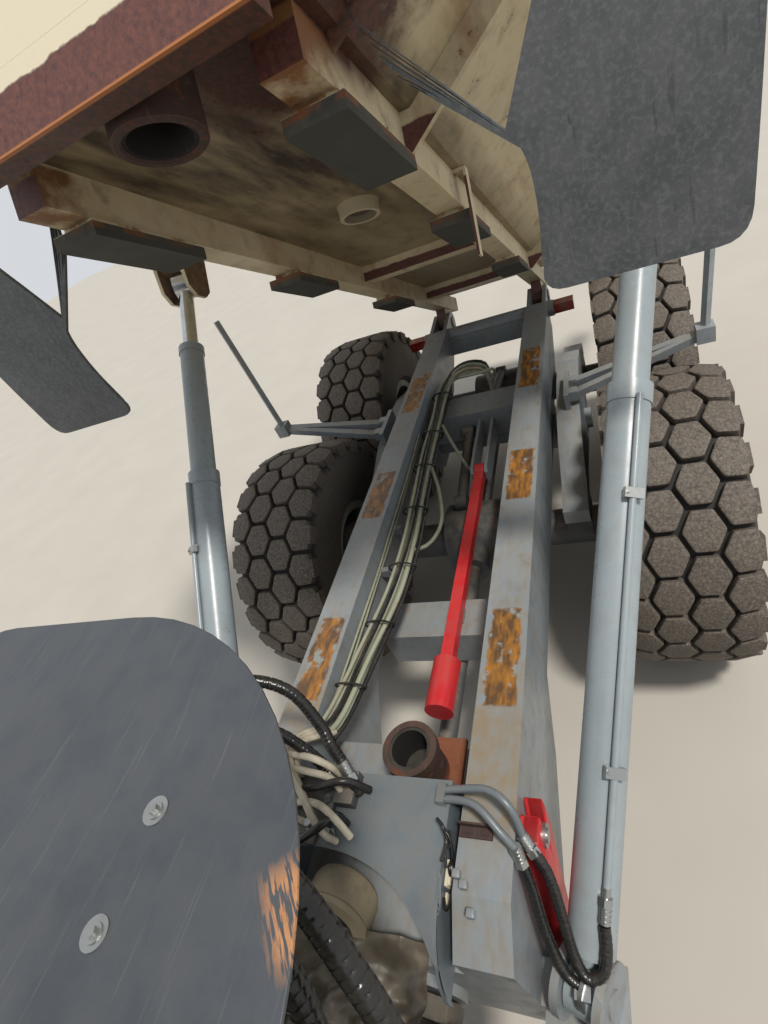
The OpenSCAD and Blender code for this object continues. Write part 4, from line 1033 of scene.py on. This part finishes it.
# %% Lock bar
bm = bmesh.new()
outline = [(1842, 1402), (1905, 1428), (1988, 1436), (2028, 1330), (2182, 760), (2150, 693),
           (2077, 703), (1942, 1238), (1853, 1290)]
for low, high in ((502.8, 512), (512, 566)):
    bmesh.ops.contextual_create(bm, geom=[bm.verts.new(truck(x, low, z)) for x, z in outline])
    level = [f for f in bm.faces if abs(f.calc_center_median().y - low / 1000) < 1e-4]
    pull(bm, level, (0, (high - low) / 1000, 0))
soften(bm, 0.006, 3, 60)
lock = make("lock_bar_channel", bm, red_enamel, "rear_frame")
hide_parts("steering_lock_bar")
bm = bmesh.new()
for x, z, r in ((1935, 1360, 0.036), (2128, 735, 0.024)):
    disc(bm, truck(x, 564, z), (0, 1, 0), r, 0.012, 24)
    disc(bm, truck(x, 574, z), (0, 1, 0), r * 0.6, 0.006, 24)
pins = make("lock_bar_pins", bm, zinc_plate, "rear_frame")
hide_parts("steering_lock_bar")

# %% Terminal block, lugs and bracket
bm = bmesh.new()
slab(bm, truck(2100, 306, 1440), (0.070, 0.010, 0.034))
slab(bm, truck(2105, 313, 1444), (0.050, 0.008, 0.016))
slab(bm, truck(2160, 305, 1425), (0.030, 0.008, 0.020))
soften(bm, 0.002)
make("terminal_block", bm, cream_tape, "rear_frame")
for i, path in enumerate([
        [(1985, 285, 1545), (2010, 312, 1560), (2040, 318, 1530), (2095, 316, 1540)],
        [(1990, 290, 1520), (2030, 322, 1500), (2060, 314, 1520), (2100, 318, 1500)],
        [(2000, 312, 1500), (2080, 316, 1440), (2150, 316, 1420), (2190, 312, 1440),
         (2170, 314, 1475)],
        [(2010, 308, 1480), (2050, 314, 1450), (2090, 316, 1470), (2105, 316, 1450)]]):
    hose(f"terminal_wire_{i}", route(path), 0.005, hose_rubber, "rear_frame",
         step=0.01, sides=8)
bm = bmesh.new()
for x, y in ((2104, 341), (2128, 366), (2194, 396)):
    slab(bm, truck(x, y, 1472), (0.024, 0.024, 0.024))
soften(bm, 0.004)
make("rail_lugs", bm, frame_enamel, "rear_frame")
bm = bmesh.new()
slab(bm, truck(1985, 385, 1464), (0.034, 0.105, 0.008))
slab(bm, truck(1968, 385, 1476), (0.006, 0.105, 0.030))
for y in (358, 412):
    bolt(bm, truck(1988, y, 1468), (0, 0, 1), 0.011)
make("rail_bracket", bm, rusty_iron, "rear_frame")

# %% [markdown]
# ## The deck plate behind the cab
# A folded sheet, painted blue-black, covers the hitch. Its rear corner is cut round, a crease
# runs across it, and two big zinc washers hold it. It is drawn as an outline, filled, given its
# thickness, and cut along the crease so that the part behind it can rise a little.

# %% Deck plate
bm = bmesh.new()
outline = [(3120, -610), (3120, 610), (2620, 610)]
outline += [(2620 + 560 * math.cos(a), 50 + 560 * math.sin(a))
            for a in [math.radians(90 + 6 * i) for i in range(1, 16)]]
outline += [(2340 + 280 * math.cos(a), -330 + 280 * math.sin(a))
            for a in [math.radians(180 + 9 * i) for i in range(11)]]
ring = [bm.verts.new(truck(x, y, 2646)) for x, y in outline]
bmesh.ops.contextual_create(bm, geom=ring)
crease = (truck(2100, -358, 0), truck(2347, 545, 0))
across = (crease[1] - crease[0]).normalized()
bmesh.ops.bisect_plane(bm, geom=bm.verts[:] + bm.edges[:] + bm.faces[:], plane_co=crease[0],
                       plane_no=Vector((across.y, -across.x, 0)))
for v in bm.verts:
    behind = (v.co - crease[0]).dot(Vector((-across.y, across.x, 0)))
    if behind > 0.001:
        v.co.z += 0.11 * behind
bmesh.ops.solidify(bm, geom=bm.faces[:], thickness=0.006)
soften(bm, 0.0015)
washers = bmesh.new()
for x, y in ((2382, 329), (2517, 328)):
    disc(washers, truck(x, y, 2650), (0, 0, 1), 0.019, 0.004, 28)
    bolt(washers, truck(x, y, 2654), (0, 0, 1), 0.011)
make("deck_plate_washers", washers, zinc_plate, "front_frame")
piece = make("folded_deck_plate", bm, plate_enamel, "front_frame", 8)
bm = bmesh.new()
for sign in (-1, 1):
    for z, height in ((2032, 1.220), (2020, 1.236)):
        slab(bm, truck(3085, 495 * sign, z), (0.050, 0.050, height))
    slab(bm, truck(3120, 460 * sign, 1436), (0.120, 0.120, 0.030))
    slab(bm, truck(3200, 427 * sign, 1436), (0.200, 0.055, 0.030))
soften(bm, 0.004)
stand = make("deck_plate_stand", bm, axle_enamel, "front_frame")
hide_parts("cover_plate")
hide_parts("cover_plate")

# %% [markdown]
# ## Floor and light
# A plain pale floor, a hazy sun from the front left, and a bright overcast sky as the fill.

# %% Floor, sun and sky
floor_mesh = bpy.data.meshes.new("studio_floor")
bm = bmesh.new()
bmesh.ops.create_grid(bm, x_segments=1, y_segments=1, size=40)
bm.to_mesh(floor_mesh)
bm.free()
floor = bpy.data.objects.new("studio_floor", floor_mesh)
bpy.context.scene.collection.objects.link(floor)
floor_finish, tree, shader, place = blank("pale_studio_floor")
mottle = grain(tree, place, 1.5)
tree.links.new(layer(tree, mottle, colour("#b3aea4"), colour("#a8a298")),
               shader.inputs["Base Color"])
shader.inputs["Roughness"].default_value = 0.9
floor_mesh.materials.append(floor_finish)

sun_data = bpy.data.lights.new("hazy_sun", "SUN")
sun_data.energy = 3.2
sun_data.angle = math.radians(8)
sun_data.color = (1.0, 0.96, 0.9)
sun = bpy.data.objects.new("hazy_sun", sun_data)
sun.matrix_world = Vector((0.25, 0.45, 1.0)).to_track_quat("Z", "Y").to_matrix().to_4x4()
bpy.context.scene.collection.objects.link(sun)
sky = bpy.data.worlds.new("overcast_sky")
sky.use_nodes = True
sky.node_tree.nodes["Background"].inputs["Color"].default_value = (0.92, 0.95, 1.0, 1)
sky.node_tree.nodes["Background"].inputs["Strength"].default_value = 0.72
bpy.context.scene.world = sky
bpy.context.scene.view_settings.view_transform = "Standard"
